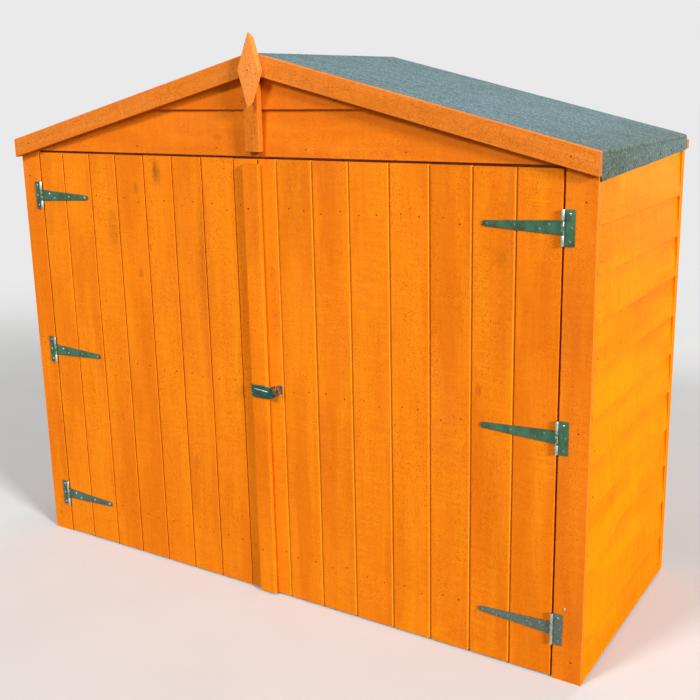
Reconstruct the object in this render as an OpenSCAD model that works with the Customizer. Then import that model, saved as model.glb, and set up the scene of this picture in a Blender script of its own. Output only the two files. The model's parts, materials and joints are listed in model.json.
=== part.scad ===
// Low timber bicycle store with an apex roof and two boarded doors on T hinges.
// X runs along the front, Y into the store, Z up; the origin is the middle of the
// floor area under the whole store, so the door faces lie at negative Y.

/* [Building] */
// Width over the front posts
body_w = 1830; // [1500:10:2200]
// Depth from the door faces to the back of the rear wall
body_d = 700; // [560:10:1000]
// Height of the roof covering at the ridge
ridge_h = 1510; // [1400:5:1800]
// Roof pitch in degrees
pitch = 14; // [8:0.5:18]

/* [Cladding] */
// Thickness of an overlap board at its lower edge
board_t = 9; // [6:0.5:14]
// Height of one course of overlap boards
course_h = 111.5; // [90:0.5:140]
// Gap under the lowest overlap board
clad_gap = 4; // [0:0.5:10]
// How far the lower edges of the side boards stand out past the posts
clad_proud = 1; // [1:0.5:9]
// Width of the corner strip that covers the rear ends of the side boards
corner_w = 24; // [16:1:40]

/* [Posts and rails] */
// Width of a front post board
post_w = 75; // [60:1:110]
// Thickness of a front post board
post_t = 12; // [9:0.5:20]
// Wide side of the framing battens
batten_w = 38; // [30:1:50]
// Narrow side of the framing battens
batten_t = 28; // [20:1:36]
// Height of the rail over the doors
header_h = 70; // [60:1:100]
// How far the rail over the doors reaches down behind them as a stop
stop_lap = 20; // [12:1:30]
// Height of the ridge rail
ridge_rail_h = 60; // [50:1:90]

/* [Roof] */
// Thickness of the roof boarding
roof_t = 10; // [8:0.5:18]
// Thickness of the roofing felt
felt_t = 3; // [2:0.5:5]
// Felt turned down over the eaves, at the front end
felt_drop_front = 66; // [45:1:75]
// Felt turned down over the eaves, at the rear end
felt_drop_rear = 41; // [30:1:60]
// Distance of the felt's hanging edge from the side of the posts
felt_out = 4; // [3:0.5:8]
// Width of a front bargeboard, square to its length
barge_h = 52; // [40:1:80]
// Width of a rear bargeboard, square to its length
barge_rear_h = 24; // [18:1:60]
// Thickness of a bargeboard
barge_t = 20; // [14:0.5:28]
// How far the bargeboards run past the posts
barge_over = 5; // [3:0.5:40]

/* [Gable trim] */
// Height of the lower gable board
gable_course = 120; // [90:1:140]
// Width of the strip on the gable
gable_strip_w = 47; // [35:1:70]
// Thickness of the strip on the gable
gable_strip_t = 18; // [12:0.5:24]
// Sideways offset of the gable strip from the middle
gable_strip_x = -6; // [-20:1:20]
// Gap from the gable strip down to the lower edge of the gable
gable_strip_gap = 12; // [4:1:20]
// Height of the diamond finial
finial_h = 188; // [140:1:240]
// Width of the diamond finial
finial_w = 66; // [50:1:90]
// Thickness of the diamond finial
finial_t = 20; // [12:0.5:26]
// Height of the finial's point over the ridge
finial_up = 50; // [30:1:80]
// Sideways offset of the finial from the middle
finial_x = 7; // [-20:1:20]
// Lean of the finial in degrees, top to the right
finial_lean = 3.5; // [-5:0.5:5]

/* [Doors] */
// Thickness of the door boards
door_t = 12; // [9:0.5:20]
// Gap between a door and its post
door_gap = 5; // [5:0.5:8]
// Gap between the two doors behind the cover strip
meet_gap = 6; // [5:0.5:10]
// Sideways offset of the meeting line from the middle
meet_x = -4; // [-12:1:-2]
// Gap under the doors
floor_gap = 5; // [4:0.5:20]
// Gap between the top of the doors and the bargeboards at the hinge line
head_gap = 5.5; // [5.5:0.5:12]
// Gap between the top of the doors and the gable boards
gable_gap = 6; // [5.5:0.5:16]
// Height of a door ledge
ledge_h = 70; // [50:1:100]
// Thickness of a door ledge
ledge_t = 22; // [16:1:30]
// Distance of a ledge's end from the hinge edge of the door
ledge_in = 45; // [40:1:90]
// Distance of a ledge's end from the free edge of the door
ledge_free_in = 30; // [20:1:60]
// Width of a brace, measured along the ledge
brace_w = 80; // [60:1:110]
// Width of the cover strip
strip_w = 50; // [40:1:70]
// Thickness of the cover strip
strip_t = 14; // [10:0.5:20]
// How far the cover strip laps over the right door
strip_lap = 7; // [6:0.5:14]
// Clear gap between the lap and the right door
lap_gap = 2; // [1.5:0.5:4]
// Drop from the top of the door to the top of the cover strip
strip_drop = 13; // [4:1:30]

/* [T hinges] */
// Height of the lowest hinge
hinge_low_z = 135; // [110:1:240]
// Drop from the top of the door to the highest hinge
hinge_top_drop = 130; // [100:1:240]
// Thickness of the hinge plates
plate_t = 2.5; // [1.5:0.5:3.5]
// Height of the leaf on the post
leaf_h = 82; // [70:1:110]
// Width of the leaf on the post
leaf_w = 27; // [20:1:34]
// Length of the strap from the hinge pin
strap_l = 196; // [140:1:260]
// Height of the strap at its root
strap_root_h = 33; // [26:1:44]
// Height of the strap at its tip
strap_tip_h = 14; // [8:1:20]
// Radius of the knuckles
knuckle_r = 4; // [3.5:0.25:5]
// Radius of the hinge pin
pin_r = 2; // [1.5:0.25:2.5]

/* [Hasp] */
// Height of the hasp's middle
hasp_z = 612; // [450:1:800]
// Height of the hasp's plates
hasp_h = 33; // [24:1:44]
// Thickness of the hasp's plates
hasp_t = 2; // [1.5:0.25:3]
// Radius of the hasp's knuckles
hasp_knuckle_r = 3; // [2.75:0.25:4]
// Radius of the hasp's pin
hasp_pin_r = 1.5; // [1:0.25:1.75]
// Reach of the flap past the cover strip
flap_reach = 22; // [14:1:28]
// Gap between the folded end of the flap and the right door
fold_gap = 5; // [4:0.5:8]
// Radius of the padlock hole in the folded end
lock_hole_r = 4.5; // [3:0.25:5]
// Height of the padlock hole over the hasp's middle
lock_hole_up = 9; // [-9:0.5:9]
// Outer radius of the staple's ring
ring_r = 15; // [12:0.5:20]
// Thickness of the staple's ring
ring_wire = 5; // [3:0.5:6]
// Gap from the flap's folded end to the middle of the ring
ring_x_gap = 17; // [12:1:30]
// Width of the staple's base plate
staple_w = 10; // [8:1:30]
// Height of the staple's base plate
staple_h = 24; // [20:1:44]

/* [Fits] */
// Radial clearance between a hinge pin and its knuckle
pin_clear = 0.1; // [0.05:0.01:0.2]
// Clearance between neighbouring knuckles and around them
knuckle_clear = 0.6; // [0.4:0.1:1]
// Clearance between the knuckles of the T hinges and the timber behind them
knuckle_lift = 0.4; // [0.2:0.1:1]

/* [Hidden] */
$fn = 64;

timber = "darkorange";
trim = "chocolate";
framing = "peru";
felt_green = "slategray";
enamel = "seagreen";
zinc = "silver";

// Front to back: y = 0 in the modules is the plane of the door faces.
front_out = barge_t + finial_t;
rear_out = barge_t;
front_y = (front_out - rear_out - body_d) / 2;

// Across: the posts, the framing behind them and the cladding outside.
half_w = body_w / 2;
clad_x = half_w + clad_proud;
inner_x = clad_x - 2 * board_t;
upright_x = inner_x - batten_w;
rear_in_y = body_d - 2 * board_t;
gable_in_y = 2 * board_t;
post_in_x = half_w - post_w;
felt_x = half_w + felt_out;

// Heights on the roof slopes at a distance x from the ridge.
function slope_z(x, top) = top - abs(x) * tan(pitch);
function plumb(t) = t / cos(pitch);
roof_top = ridge_h - plumb(felt_t);
under_top = roof_top - plumb(roof_t);
barge_under = ridge_h - plumb(barge_h);

// Doors, from the hinge line and the bargeboards over it.
hinge_x = post_in_x - door_gap / 2;
door_edge_x = post_in_x - door_gap;
door_top = slope_z(hinge_x, barge_under) - head_gap;
door_h = door_top - floor_gap;
left_free_x = meet_x - meet_gap / 2;
right_free_x = meet_x + meet_gap / 2;
strip_right_x = right_free_x + strip_lap;
strip_left_x = strip_right_x - strip_w;
gable_z = door_top + gable_gap;
gable_mid_z = gable_z + gable_course;
header_z = door_top - stop_lap;

// Hinge heights: the lowest, the middle and the highest.
hinge_top_z = door_top - hinge_top_drop;
hinge_zs = [hinge_low_z, (hinge_low_z + hinge_top_z) / 2, hinge_top_z];
hinge_y = -knuckle_r - knuckle_lift;

// Hasp: the pin stands at the left edge of the cover strip, in front of it.
hasp_x = strip_left_x + hasp_knuckle_r;
hasp_y = -strip_t - hasp_knuckle_r;
hasp_front_y = hasp_y - hasp_knuckle_r;
flap_end_x = strip_right_x + flap_reach;
hasp_mid_h = hasp_h / 3;
hasp_notch_x = hasp_x + hasp_knuckle_r + knuckle_clear;
ring_x = flap_end_x + ring_x_gap;
ring_z = hasp_z + lock_hole_up;

// Helpers: profiles drawn in (x, z) run along y, profiles in (y, z) run along x.
module at_front() { translate([0, front_y, 0]) children(); }
module flip() { mirror([1, 0, 0]) children(); }
module along_y(y0, y1) {
    translate([0, y1, 0]) rotate([90, 0, 0]) linear_extrude(y1 - y0) children();
}
module along_x(x0, x1) {
    translate([x0, 0, 0]) rotate([90, 0, 90]) linear_extrude(x1 - x0) children();
}
module block(x, y, z) {
    translate([x[0], y[0], z[0]]) cube([x[1] - x[0], y[1] - y[0], z[1] - z[0]]);
}
module pin(x, y, z0, z1, r) { translate([x, y, z0]) cylinder(h = z1 - z0, r = r); }

// The space under the roof boarding, as a long prism that trims what reaches up to it.
module under_roof(top) {
    along_y(-body_d, 2 * body_d) polygon([
        [-body_w, 0], [body_w, 0], [body_w, slope_z(body_w, top)], [0, top],
        [-body_w, slope_z(body_w, top)]
    ]);
}
module trimmed(top) {
    intersection() {
        children();
        under_roof(top);
    }
}

// Overlap boards: each course is thickest at its lower edge and runs under the next.
module courses(count, top) {
    foot = [for (k = [0:count - 1]) clad_gap + k * course_h];
    polygon(concat(
        [[-board_t, clad_gap]],
        [for (k = [0:count - 1]) each [
            [board_t, foot[k]],
            [0, k < count - 1 ? foot[k + 1] : top]
        ]],
        [[-board_t, top]]
    ));
}
// The foot of the top course on a side stays at least half a course under the felt's edge.
side_top = slope_z(inner_x, under_top);
side_courses = round((side_top - felt_drop_front - clad_gap) / course_h);
rear_courses = ceil((under_top - clad_gap) / course_h);

module side_wall() {
    color(timber) at_front() trimmed(under_top) along_y(post_t, body_d - corner_w)
        translate([clad_x - board_t, 0]) courses(side_courses, side_top);
}
module rear_wall() {
    color(timber) at_front() trimmed(under_top) along_x(-inner_x, inner_x)
        translate([body_d - board_t, 0]) courses(rear_courses, under_top);
}
module corner_strip() {
    top = slope_z(felt_x, ridge_h) - felt_drop_rear - felt_t;
    color(timber) at_front() block([inner_x, clad_x], [body_d - corner_w, body_d], [0, top]);
}
module side_wall_right() { side_wall(); }
module side_wall_left() { flip() side_wall(); }
module corner_strip_right() { corner_strip(); }
module corner_strip_left() { flip() corner_strip(); }

// Posts and framing.
module front_post() {
    color(timber) at_front() trimmed(under_top)
        block([post_in_x, half_w], [0, post_t], [0, ridge_h]);
}
module upright(y0) {
    color(framing) at_front() trimmed(under_top)
        block([upright_x, inner_x], [y0, y0 + batten_w], [0, ridge_h]);
}
rail_in_y = post_t + batten_w;
rail_out_y = rear_in_y - batten_w;
rail_top = slope_z(inner_x, under_top);
module side_rails() {
    rail_x = [inner_x - batten_t, inner_x];
    color(framing) at_front() for (z0 = [0, rail_top - batten_w])
        block(rail_x, [rail_in_y, rail_out_y], [z0, z0 + batten_w]);
}
module rear_rails() {
    color(framing) at_front() for (z0 = [0, rail_top - batten_w])
        block([-upright_x, upright_x], [rear_in_y - batten_t, rear_in_y], [z0, z0 + batten_w]);
}
module rear_upright_middle() {
    color(framing) at_front()
        block([-batten_w / 2, batten_w / 2], [rear_in_y - batten_t, rear_in_y],
              [batten_w, rail_top - batten_w]);
}
module door_header() {
    color(framing) at_front() trimmed(under_top)
        block([-upright_x, upright_x], [gable_in_y, gable_in_y + batten_t],
              [header_z, header_z + header_h]);
}
module ridge_rail() {
    color(framing) at_front() trimmed(under_top)
        block([-batten_t / 2, batten_t / 2], [gable_in_y, rear_in_y],
              [under_top - ridge_rail_h, ridge_h]);
}
module front_post_right() { front_post(); }
module front_post_left() { flip() front_post(); }
module front_upright_right() { upright(post_t); }
module front_upright_left() { flip() upright(post_t); }
module rear_upright_right() { upright(rail_out_y); }
module rear_upright_left() { flip() upright(rail_out_y); }
module side_rails_right() { side_rails(); }
module side_rails_left() { flip() side_rails(); }

// Front gable: two overlap boards between the posts, with a strip and a finial.
module gable_board(z0, z1) {
    color(timber) at_front() trimmed(under_top) along_x(-post_in_x, post_in_x)
        polygon([[0, z0], [board_t, z1], [gable_in_y, z1], [gable_in_y, z0]]);
}
module gable_board_lower() { gable_board(gable_z, gable_mid_z); }
module gable_board_upper() { gable_board(gable_mid_z, under_top); }
module gable_strip() {
    mid = gable_strip_x;
    color(trim) at_front() trimmed(barge_under)
        block([mid - gable_strip_w / 2, mid + gable_strip_w / 2], [-gable_strip_t, 0],
              [gable_z + gable_strip_gap, ridge_h]);
}
module finial() {
    half = [finial_w / 2, finial_h / 2];
    color(trim) at_front() along_y(-barge_t - finial_t, -barge_t)
        translate([finial_x, ridge_h + finial_up - half[1]]) rotate(-finial_lean)
            polygon([[0, half[1]], [half[0], 0], [0, -half[1]], [-half[0], 0]]);
}

// Roof: boarding, one sheet of felt turned down at the eaves, and bargeboards.
module slope_slab(x1, top, t) {
    polygon([
        [0, top], [x1, slope_z(x1, top)],
        [x1, slope_z(x1, top) - plumb(t)], [0, top - plumb(t)]
    ]);
}
module roof_board_right() {
    color(framing) at_front() along_y(0, body_d) slope_slab(felt_x - felt_t, roof_top, roof_t);
}
module roof_board_left() { flip() roof_board_right(); }
module felt_apron() {
    edge = slope_z(felt_x, ridge_h);
    along_x(felt_x - felt_t, felt_x) polygon([
        [0, edge - felt_drop_front], [body_d, edge - felt_drop_rear], [body_d, edge], [0, edge]
    ]);
}
module felt_half() {
    along_y(0, body_d) slope_slab(felt_x, ridge_h, felt_t);
    felt_apron();
}
module roof_felt() {
    color(felt_green) at_front() {
        felt_half();
        flip() felt_half();
    }
}
// The front ones reach up to the felt, the rear ones lie under the roof boarding's level.
module bargeboard(y0, top, h) {
    color(trim) at_front() along_y(y0, y0 + barge_t) slope_slab(half_w + barge_over, top, h);
}
module bargeboard_front_right() { bargeboard(-barge_t, ridge_h, barge_h); }
module bargeboard_front_left() { flip() bargeboard_front_right(); }
module bargeboard_rear_right() { bargeboard(body_d, under_top, barge_rear_h); }
module bargeboard_rear_left() { flip() bargeboard_rear_right(); }

// Doors: a slab of boards with three ledges and two braces behind.
module door_boards(x) {
    color(timber) at_front() block(x, [0, door_t], [floor_gap, door_top]);
}
module ledges(x) {
    color(framing) at_front() for (z = hinge_zs)
        block(x, [door_t, door_t + ledge_t], [z - ledge_h / 2, z + ledge_h / 2]);
}
module braces(foot_x, head_x) {
    side = sign(head_x - foot_x) * brace_w;
    color(framing) at_front() for (k = [0, 1]) {
        low = hinge_zs[k] + ledge_h / 2;
        high = hinge_zs[k + 1] - ledge_h / 2;
        along_y(door_t, door_t + ledge_t) polygon([
            [foot_x, low], [foot_x + side, low], [head_x, high], [head_x - side, high]
        ]);
    }
}
ledge_hinge_x = door_edge_x - ledge_in;
left_ledge_x = left_free_x - ledge_free_in;
right_ledge_x = right_free_x + ledge_free_in;
module left_door_boards() { door_boards([-door_edge_x, left_free_x]); }
module right_door_boards() { door_boards([right_free_x, door_edge_x]); }
module left_door_ledges() { ledges([-ledge_hinge_x, left_ledge_x]); }
module right_door_ledges() { ledges([right_ledge_x, ledge_hinge_x]); }
module left_door_braces() { braces(-ledge_hinge_x, left_ledge_x); }
module right_door_braces() { braces(ledge_hinge_x, right_ledge_x); }
module cover_strip() {
    z = [floor_gap, door_top - strip_drop];
    color(timber) at_front() difference() {
        block([strip_left_x, strip_right_x], [-strip_t, 0], z);
        block([left_free_x, strip_right_x + 1], [-lap_gap, 1], z + [-1, 1]);
    }
}

// T hinges: the leaf carries the pin and the outer knuckles, the strap the middle one.
knuckle_half = strap_root_h / 2;
module hinge_leaf(z) {
    cut = knuckle_half + knuckle_clear;
    reach = knuckle_r + knuckle_clear;
    outer = [hinge_x, hinge_x + leaf_w];
    difference() {
        block(outer, [-plate_t, 0], [z - leaf_h / 2, z + leaf_h / 2]);
        block([hinge_x - 1, hinge_x + reach], [-plate_t - 1, 1], [z - cut, z + cut]);
    }
    pin(hinge_x, hinge_y, z - leaf_h / 2, z + leaf_h / 2, pin_r);
    pin(hinge_x, hinge_y, z + cut, z + leaf_h / 2, knuckle_r);
    pin(hinge_x, hinge_y, z - leaf_h / 2, z - cut, knuckle_r);
}
module hinge_strap(z, side) {
    tip_r = strap_tip_h / 2;
    root_x = side * hinge_x;
    tip_x = side * (hinge_x - strap_l + tip_r);
    difference() {
        union() {
            along_y(-plate_t, 0) translate([0, z]) {
                polygon([
                    [root_x, knuckle_half], [tip_x, tip_r], [tip_x, -tip_r],
                    [root_x, -knuckle_half]
                ]);
                translate([tip_x, 0]) circle(r = tip_r);
            }
            pin(root_x, hinge_y, z - knuckle_half, z + knuckle_half, knuckle_r);
        }
        pin(root_x, hinge_y, z - leaf_h, z + leaf_h, pin_r + pin_clear);
    }
}
module hinge_leaves_right() { color(enamel) at_front() for (z = hinge_zs) hinge_leaf(z); }
module hinge_leaves_left() { flip() hinge_leaves_right(); }
module hinge_straps_right() { color(enamel) at_front() for (z = hinge_zs) hinge_strap(z, 1); }
module hinge_straps_left() { color(enamel) at_front() for (z = hinge_zs) hinge_strap(z, -1); }

// Hasp: a base screwed to the cover strip, and a flap with a folded end over it.
hasp_low = hasp_z - hasp_h / 2;
hasp_high = hasp_z + hasp_h / 2;
hasp_mid = [hasp_z - hasp_mid_h / 2, hasp_z + hasp_mid_h / 2];
module hasp_base() {
    gap = [hasp_mid[0] - knuckle_clear, hasp_mid[1] + knuckle_clear];
    color(enamel) at_front() {
        difference() {
            block([hasp_x, strip_right_x - hasp_t], [-strip_t - hasp_t, -strip_t],
                  [hasp_low, hasp_high]);
            block([hasp_x - 1, hasp_notch_x], [-strip_t - hasp_t - 1, -strip_t + 1], gap);
        }
        pin(hasp_x, hasp_y, hasp_low, hasp_high, hasp_pin_r);
        pin(hasp_x, hasp_y, hasp_low, gap[0], hasp_knuckle_r);
        pin(hasp_x, hasp_y, gap[1], hasp_high, hasp_knuckle_r);
    }
}
module hasp_flap() {
    plate_y = [hasp_front_y, hasp_front_y + hasp_t];
    fold_y = [hasp_front_y, -fold_gap];
    lock_y = (fold_y[0] + fold_y[1]) / 2;
    color(enamel) at_front() difference() {
        union() {
            block([hasp_notch_x, flap_end_x], plate_y, [hasp_low, hasp_high]);
            block([hasp_x, flap_end_x], plate_y, hasp_mid);
            block([flap_end_x - hasp_t, flap_end_x], fold_y, [hasp_low, hasp_high]);
            pin(hasp_x, hasp_y, hasp_mid[0], hasp_mid[1], hasp_knuckle_r);
        }
        pin(hasp_x, hasp_y, hasp_low, hasp_high, hasp_pin_r + pin_clear);
        translate([flap_end_x - 2 * hasp_t, lock_y, hasp_z + lock_hole_up])
            rotate([0, 90, 0]) cylinder(h = 3 * hasp_t, r = lock_hole_r);
    }
}
module staple() {
    wire_r = ring_wire / 2;
    color(zinc) at_front() {
        block([ring_x - staple_w / 2, ring_x + staple_w / 2], [-hasp_t, 0],
              [ring_z - staple_h / 2, ring_z + staple_h / 2]);
        translate([ring_x, -ring_r - hasp_t / 2, ring_z]) rotate([0, 90, 0])
            rotate_extrude() translate([ring_r - wire_r, 0]) circle(r = wire_r);
    }
}

front_post_left();
front_post_right();
front_upright_left();
front_upright_right();
rear_upright_left();
rear_upright_right();
rear_upright_middle();
door_header();
side_wall_left();
side_wall_right();
side_rails_left();
side_rails_right();
rear_wall();
rear_rails();
corner_strip_left();
corner_strip_right();
gable_board_lower();
gable_board_upper();
gable_strip();
finial();
ridge_rail();
roof_board_left();
roof_board_right();
roof_felt();
bargeboard_front_left();
bargeboard_front_right();
bargeboard_rear_left();
bargeboard_rear_right();
hinge_leaves_left();
hinge_leaves_right();
left_door_boards();
left_door_ledges();
left_door_braces();
cover_strip();
hinge_straps_left();
hasp_base();
hasp_flap();
right_door_boards();
right_door_ledges();
right_door_braces();
hinge_straps_right();
staple();
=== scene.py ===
"""Looks of the timber bicycle store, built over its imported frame.

Lengths are in metres. Each piece takes its place from the solid that it stands for.
"""

import json
import logging
import math
import random
from dataclasses import dataclass, field, replace
from enum import Enum
from typing import Any, Mapping, Sequence

import bmesh
import bpy
from mathutils import Matrix, Vector, noise


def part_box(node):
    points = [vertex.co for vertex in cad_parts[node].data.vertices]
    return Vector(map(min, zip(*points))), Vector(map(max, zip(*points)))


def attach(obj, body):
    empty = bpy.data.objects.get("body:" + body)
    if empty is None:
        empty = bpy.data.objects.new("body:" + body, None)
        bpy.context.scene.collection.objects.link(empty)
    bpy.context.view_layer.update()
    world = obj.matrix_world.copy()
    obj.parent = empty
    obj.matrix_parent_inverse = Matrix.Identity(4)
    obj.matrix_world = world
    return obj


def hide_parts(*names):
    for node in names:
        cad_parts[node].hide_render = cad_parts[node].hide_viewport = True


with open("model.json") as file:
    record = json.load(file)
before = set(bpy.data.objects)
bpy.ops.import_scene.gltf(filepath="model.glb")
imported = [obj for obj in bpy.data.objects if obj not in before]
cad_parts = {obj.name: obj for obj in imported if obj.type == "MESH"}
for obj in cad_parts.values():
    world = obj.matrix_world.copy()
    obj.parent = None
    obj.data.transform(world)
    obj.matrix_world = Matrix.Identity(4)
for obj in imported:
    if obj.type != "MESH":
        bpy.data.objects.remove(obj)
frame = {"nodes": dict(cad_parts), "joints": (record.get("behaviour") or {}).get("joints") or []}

LOG = logging.getLogger("bike_store")
MM = 0.001
PITCH = math.radians(14)
SIN, COS, TAN = math.sin(PITCH), math.cos(PITCH), math.tan(PITCH)
X, Y, Z = Vector((1, 0, 0)), Vector((0, 1, 0)), Vector((0, 0, 1))

Colour = tuple[float, float, float]
Plane = tuple[Vector, Vector]
Box = tuple[Vector, Vector]
Socket = bpy.types.NodeSocket
Tree = bpy.types.NodeTree
Material = bpy.types.Material
Piece = bpy.types.Object


class Body(Enum):
    """The bodies of the frame that pieces ride on."""

    STORE = "store"
    LEFT_DOOR = "left_door"
    RIGHT_DOOR = "right_door"
    HASP = "hasp"


class Slot(Enum):
    """The finishes that the frame's record names."""

    BOARDS = "stained_boards"
    TRIM = "stained_trim"
    FRAMING = "sawn_framing"
    FELT = "mineral_felt"
    ENAMEL = "green_enamel"
    ZINC = "zinc_plate"


class Side(Enum):
    """Left or right of the store, as the sign of X."""

    LEFT = -1
    RIGHT = 1

    @property
    def word(self) -> str:
        """The side's name as it ends a node's name."""
        return self.name.lower()

    @property
    def door(self) -> Body:
        """The door on this side."""
        return Body.LEFT_DOOR if self is Side.LEFT else Body.RIGHT_DOOR

    def outer(self, low: Vector, high: Vector) -> float:
        """X of a box's face on the outside of the store."""
        return high.x if self is Side.RIGHT else low.x

    def inner(self, low: Vector, high: Vector) -> float:
        """X of a box's face towards the middle of the store."""
        return low.x if self is Side.RIGHT else high.x


class Head(Enum):
    """Shapes of a fixing's head."""

    FLAT = "flat"
    CROSS_SLOT = "cross_slot"


class Fixing(Enum):
    """Kinds of fixings, by the names of their pieces."""

    NAIL = "nails"
    CLOUT = "clouts"
    SCREW = "screws"
    BRIGHT_SCREW = "bright_screws"


class Graph:
    """Short hand for filling one node tree."""

    def __init__(self, tree: Tree) -> None:
        """Take a tree and empty it."""
        self.tree = tree
        tree.nodes.clear()

    def feed(self, socket: Socket, value: Any) -> None:
        """Link a socket to an input, or set the input to a plain value.

        Args:
            socket: The input.
            value: A socket, a plain value, or None to leave the input as it is.
        """
        if isinstance(value, Socket):
            self.tree.links.new(value, socket)
        elif value is not None:
            socket.default_value = value

    def add(self, kind: str, inputs: Mapping[Any, Any] | None = None, **settings: Any) -> bpy.types.Node:
        """Add a node.

        Args:
            kind: Blender's name of the node type.
            inputs: Values or sockets by input name or number.
            **settings: Properties of the node.

        Returns:
            The new node.
        """
        node = self.tree.nodes.new(kind)
        for key, value in settings.items():
            setattr(node, key, value)
        for key, value in (inputs or {}).items():
            self.feed(node.inputs[key], value)
        return node

    def math(self, operation: str, a: Any, b: Any = None, clamp: bool = False) -> Socket:
        """One arithmetic step on numbers."""
        node = self.add("ShaderNodeMath", {0: a, 1: b}, operation=operation, use_clamp=clamp)
        return node.outputs[0]

    def times(self, a: Any, b: Any) -> Socket:
        """The product of two numbers."""
        return self.math("MULTIPLY", a, b)

    def total(self, *parts: tuple[Any, float]) -> Socket:
        """Add values up.

        Args:
            *parts: Each value with its weight.

        Returns:
            The weighted sum.
        """
        result = None
        for value, weight in parts:
            term = self.times(value, weight)
            result = term if result is None else self.math("ADD", result, term)
        return result

    def scaled(self, vector: Any, factors: Sequence[float]) -> Socket:
        """A vector times a factor on each axis."""
        node = self.add("ShaderNodeVectorMath", {0: vector, 1: factors}, operation="MULTIPLY")
        return node.outputs[0]

    def noise(
        self,
        vector: Any,
        factors: Sequence[float],
        detail: float = 2.0,
        rough: float = 0.5,
        twist: float = 0.0,
    ) -> Socket:
        """Fractal noise.

        Args:
            vector: Where it is read.
            factors: Cells to the metre on each axis.
            detail: Number of finer layers.
            rough: Strength of the finer layers.
            twist: Distortion.

        Returns:
            A value from 0 to 1.
        """
        place = self.scaled(vector, factors)
        inputs = {"Vector": place, "Scale": 1.0, "Detail": detail, "Roughness": rough, "Distortion": twist}
        return self.add("ShaderNodeTexNoise", inputs).outputs[0]

    def step(self, value: Any, low: float, high: float, first: float = 0.0, last: float = 1.0) -> Socket:
        """A smooth step from first, at low, to last, at high."""
        inputs = {"Value": value, "From Min": low, "From Max": high, "To Min": first, "To Max": last}
        return self.add("ShaderNodeMapRange", inputs, interpolation_type="SMOOTHSTEP").outputs[0]

    def mix(self, share: Any, a: Any, b: Any, blend: str = "MIX") -> Socket:
        """Mix two colours.

        Args:
            share: How much of the second colour.
            a: The first colour.
            b: The second colour.
            blend: Blender's name of the way they mix.

        Returns:
            The mixed colour.
        """
        node = self.add("ShaderNodeMix", data_type="RGBA", blend_type=blend)
        for number, value in ((0, share), (6, a), (7, b)):
            self.feed(node.inputs[number], (*value, 1.0) if isinstance(value, tuple) else value)
        return node.outputs[2]

    def layered(self, colour: Any, layers: Sequence[tuple[Any, Colour]], blend: str = "MIX") -> Socket:
        """Lay colours over a first one.

        Args:
            colour: The first colour.
            layers: Each layer's share and colour, in order.
            blend: Blender's name of the way they mix.

        Returns:
            The last colour.
        """
        for share, tint in layers:
            colour = self.mix(share, colour, tint, blend)
        return colour

    def attribute(self, name: str, output: str = "Fac") -> Socket:
        """A mesh attribute in a shader."""
        return self.add("ShaderNodeAttribute", attribute_name=name).outputs[output]

    def named(self, name: str, kind: str) -> Socket:
        """A mesh attribute in a geometry tree."""
        return self.add("GeometryNodeInputNamedAttribute", {"Name": name}, data_type=kind).outputs[0]

    def place(self) -> Socket:
        """Object coordinates."""
        return self.add("ShaderNodeTexCoord").outputs["Object"]

    def bump(self, height: Any, strength: float, depth: float) -> Socket:
        """A normal from a height."""
        inputs = {"Strength": strength, "Distance": depth, "Height": height}
        return self.add("ShaderNodeBump", inputs).outputs[0]

    def surface(self, inputs: Mapping[str, Any]) -> None:
        """End a material in a Principled shader with these inputs."""
        shader = self.add("ShaderNodeBsdfPrincipled", inputs)
        self.add("ShaderNodeOutputMaterial", {"Surface": shader.outputs[0]})


def new_group(
    name: str, kind: str, inputs: Mapping[str, str], outputs: Mapping[str, str]
) -> tuple[Graph, bpy.types.Node, bpy.types.Node]:
    """Start a node group.

    Args:
        name: Name of the group.
        kind: Shader or geometry tree type.
        inputs: Socket kinds by input name.
        outputs: Socket kinds by output name.

    Returns:
        The group's graph, its input node and its output node.
    """
    tree = bpy.data.node_groups.new(name, kind)
    for way, sockets in (("INPUT", inputs), ("OUTPUT", outputs)):
        for socket, socket_kind in sockets.items():
            tree.interface.new_socket(socket, in_out=way, socket_type="NodeSocket" + socket_kind)
    graph = Graph(tree)
    return graph, graph.add("NodeGroupInput"), graph.add("NodeGroupOutput")


def new_material(name: str) -> tuple[Material, Graph]:
    """Start a material.

    Args:
        name: Name of the material.

    Returns:
        The material and its empty graph.
    """
    material = bpy.data.materials.new(name)
    material.use_nodes = True
    return material, Graph(material.node_tree)


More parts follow.
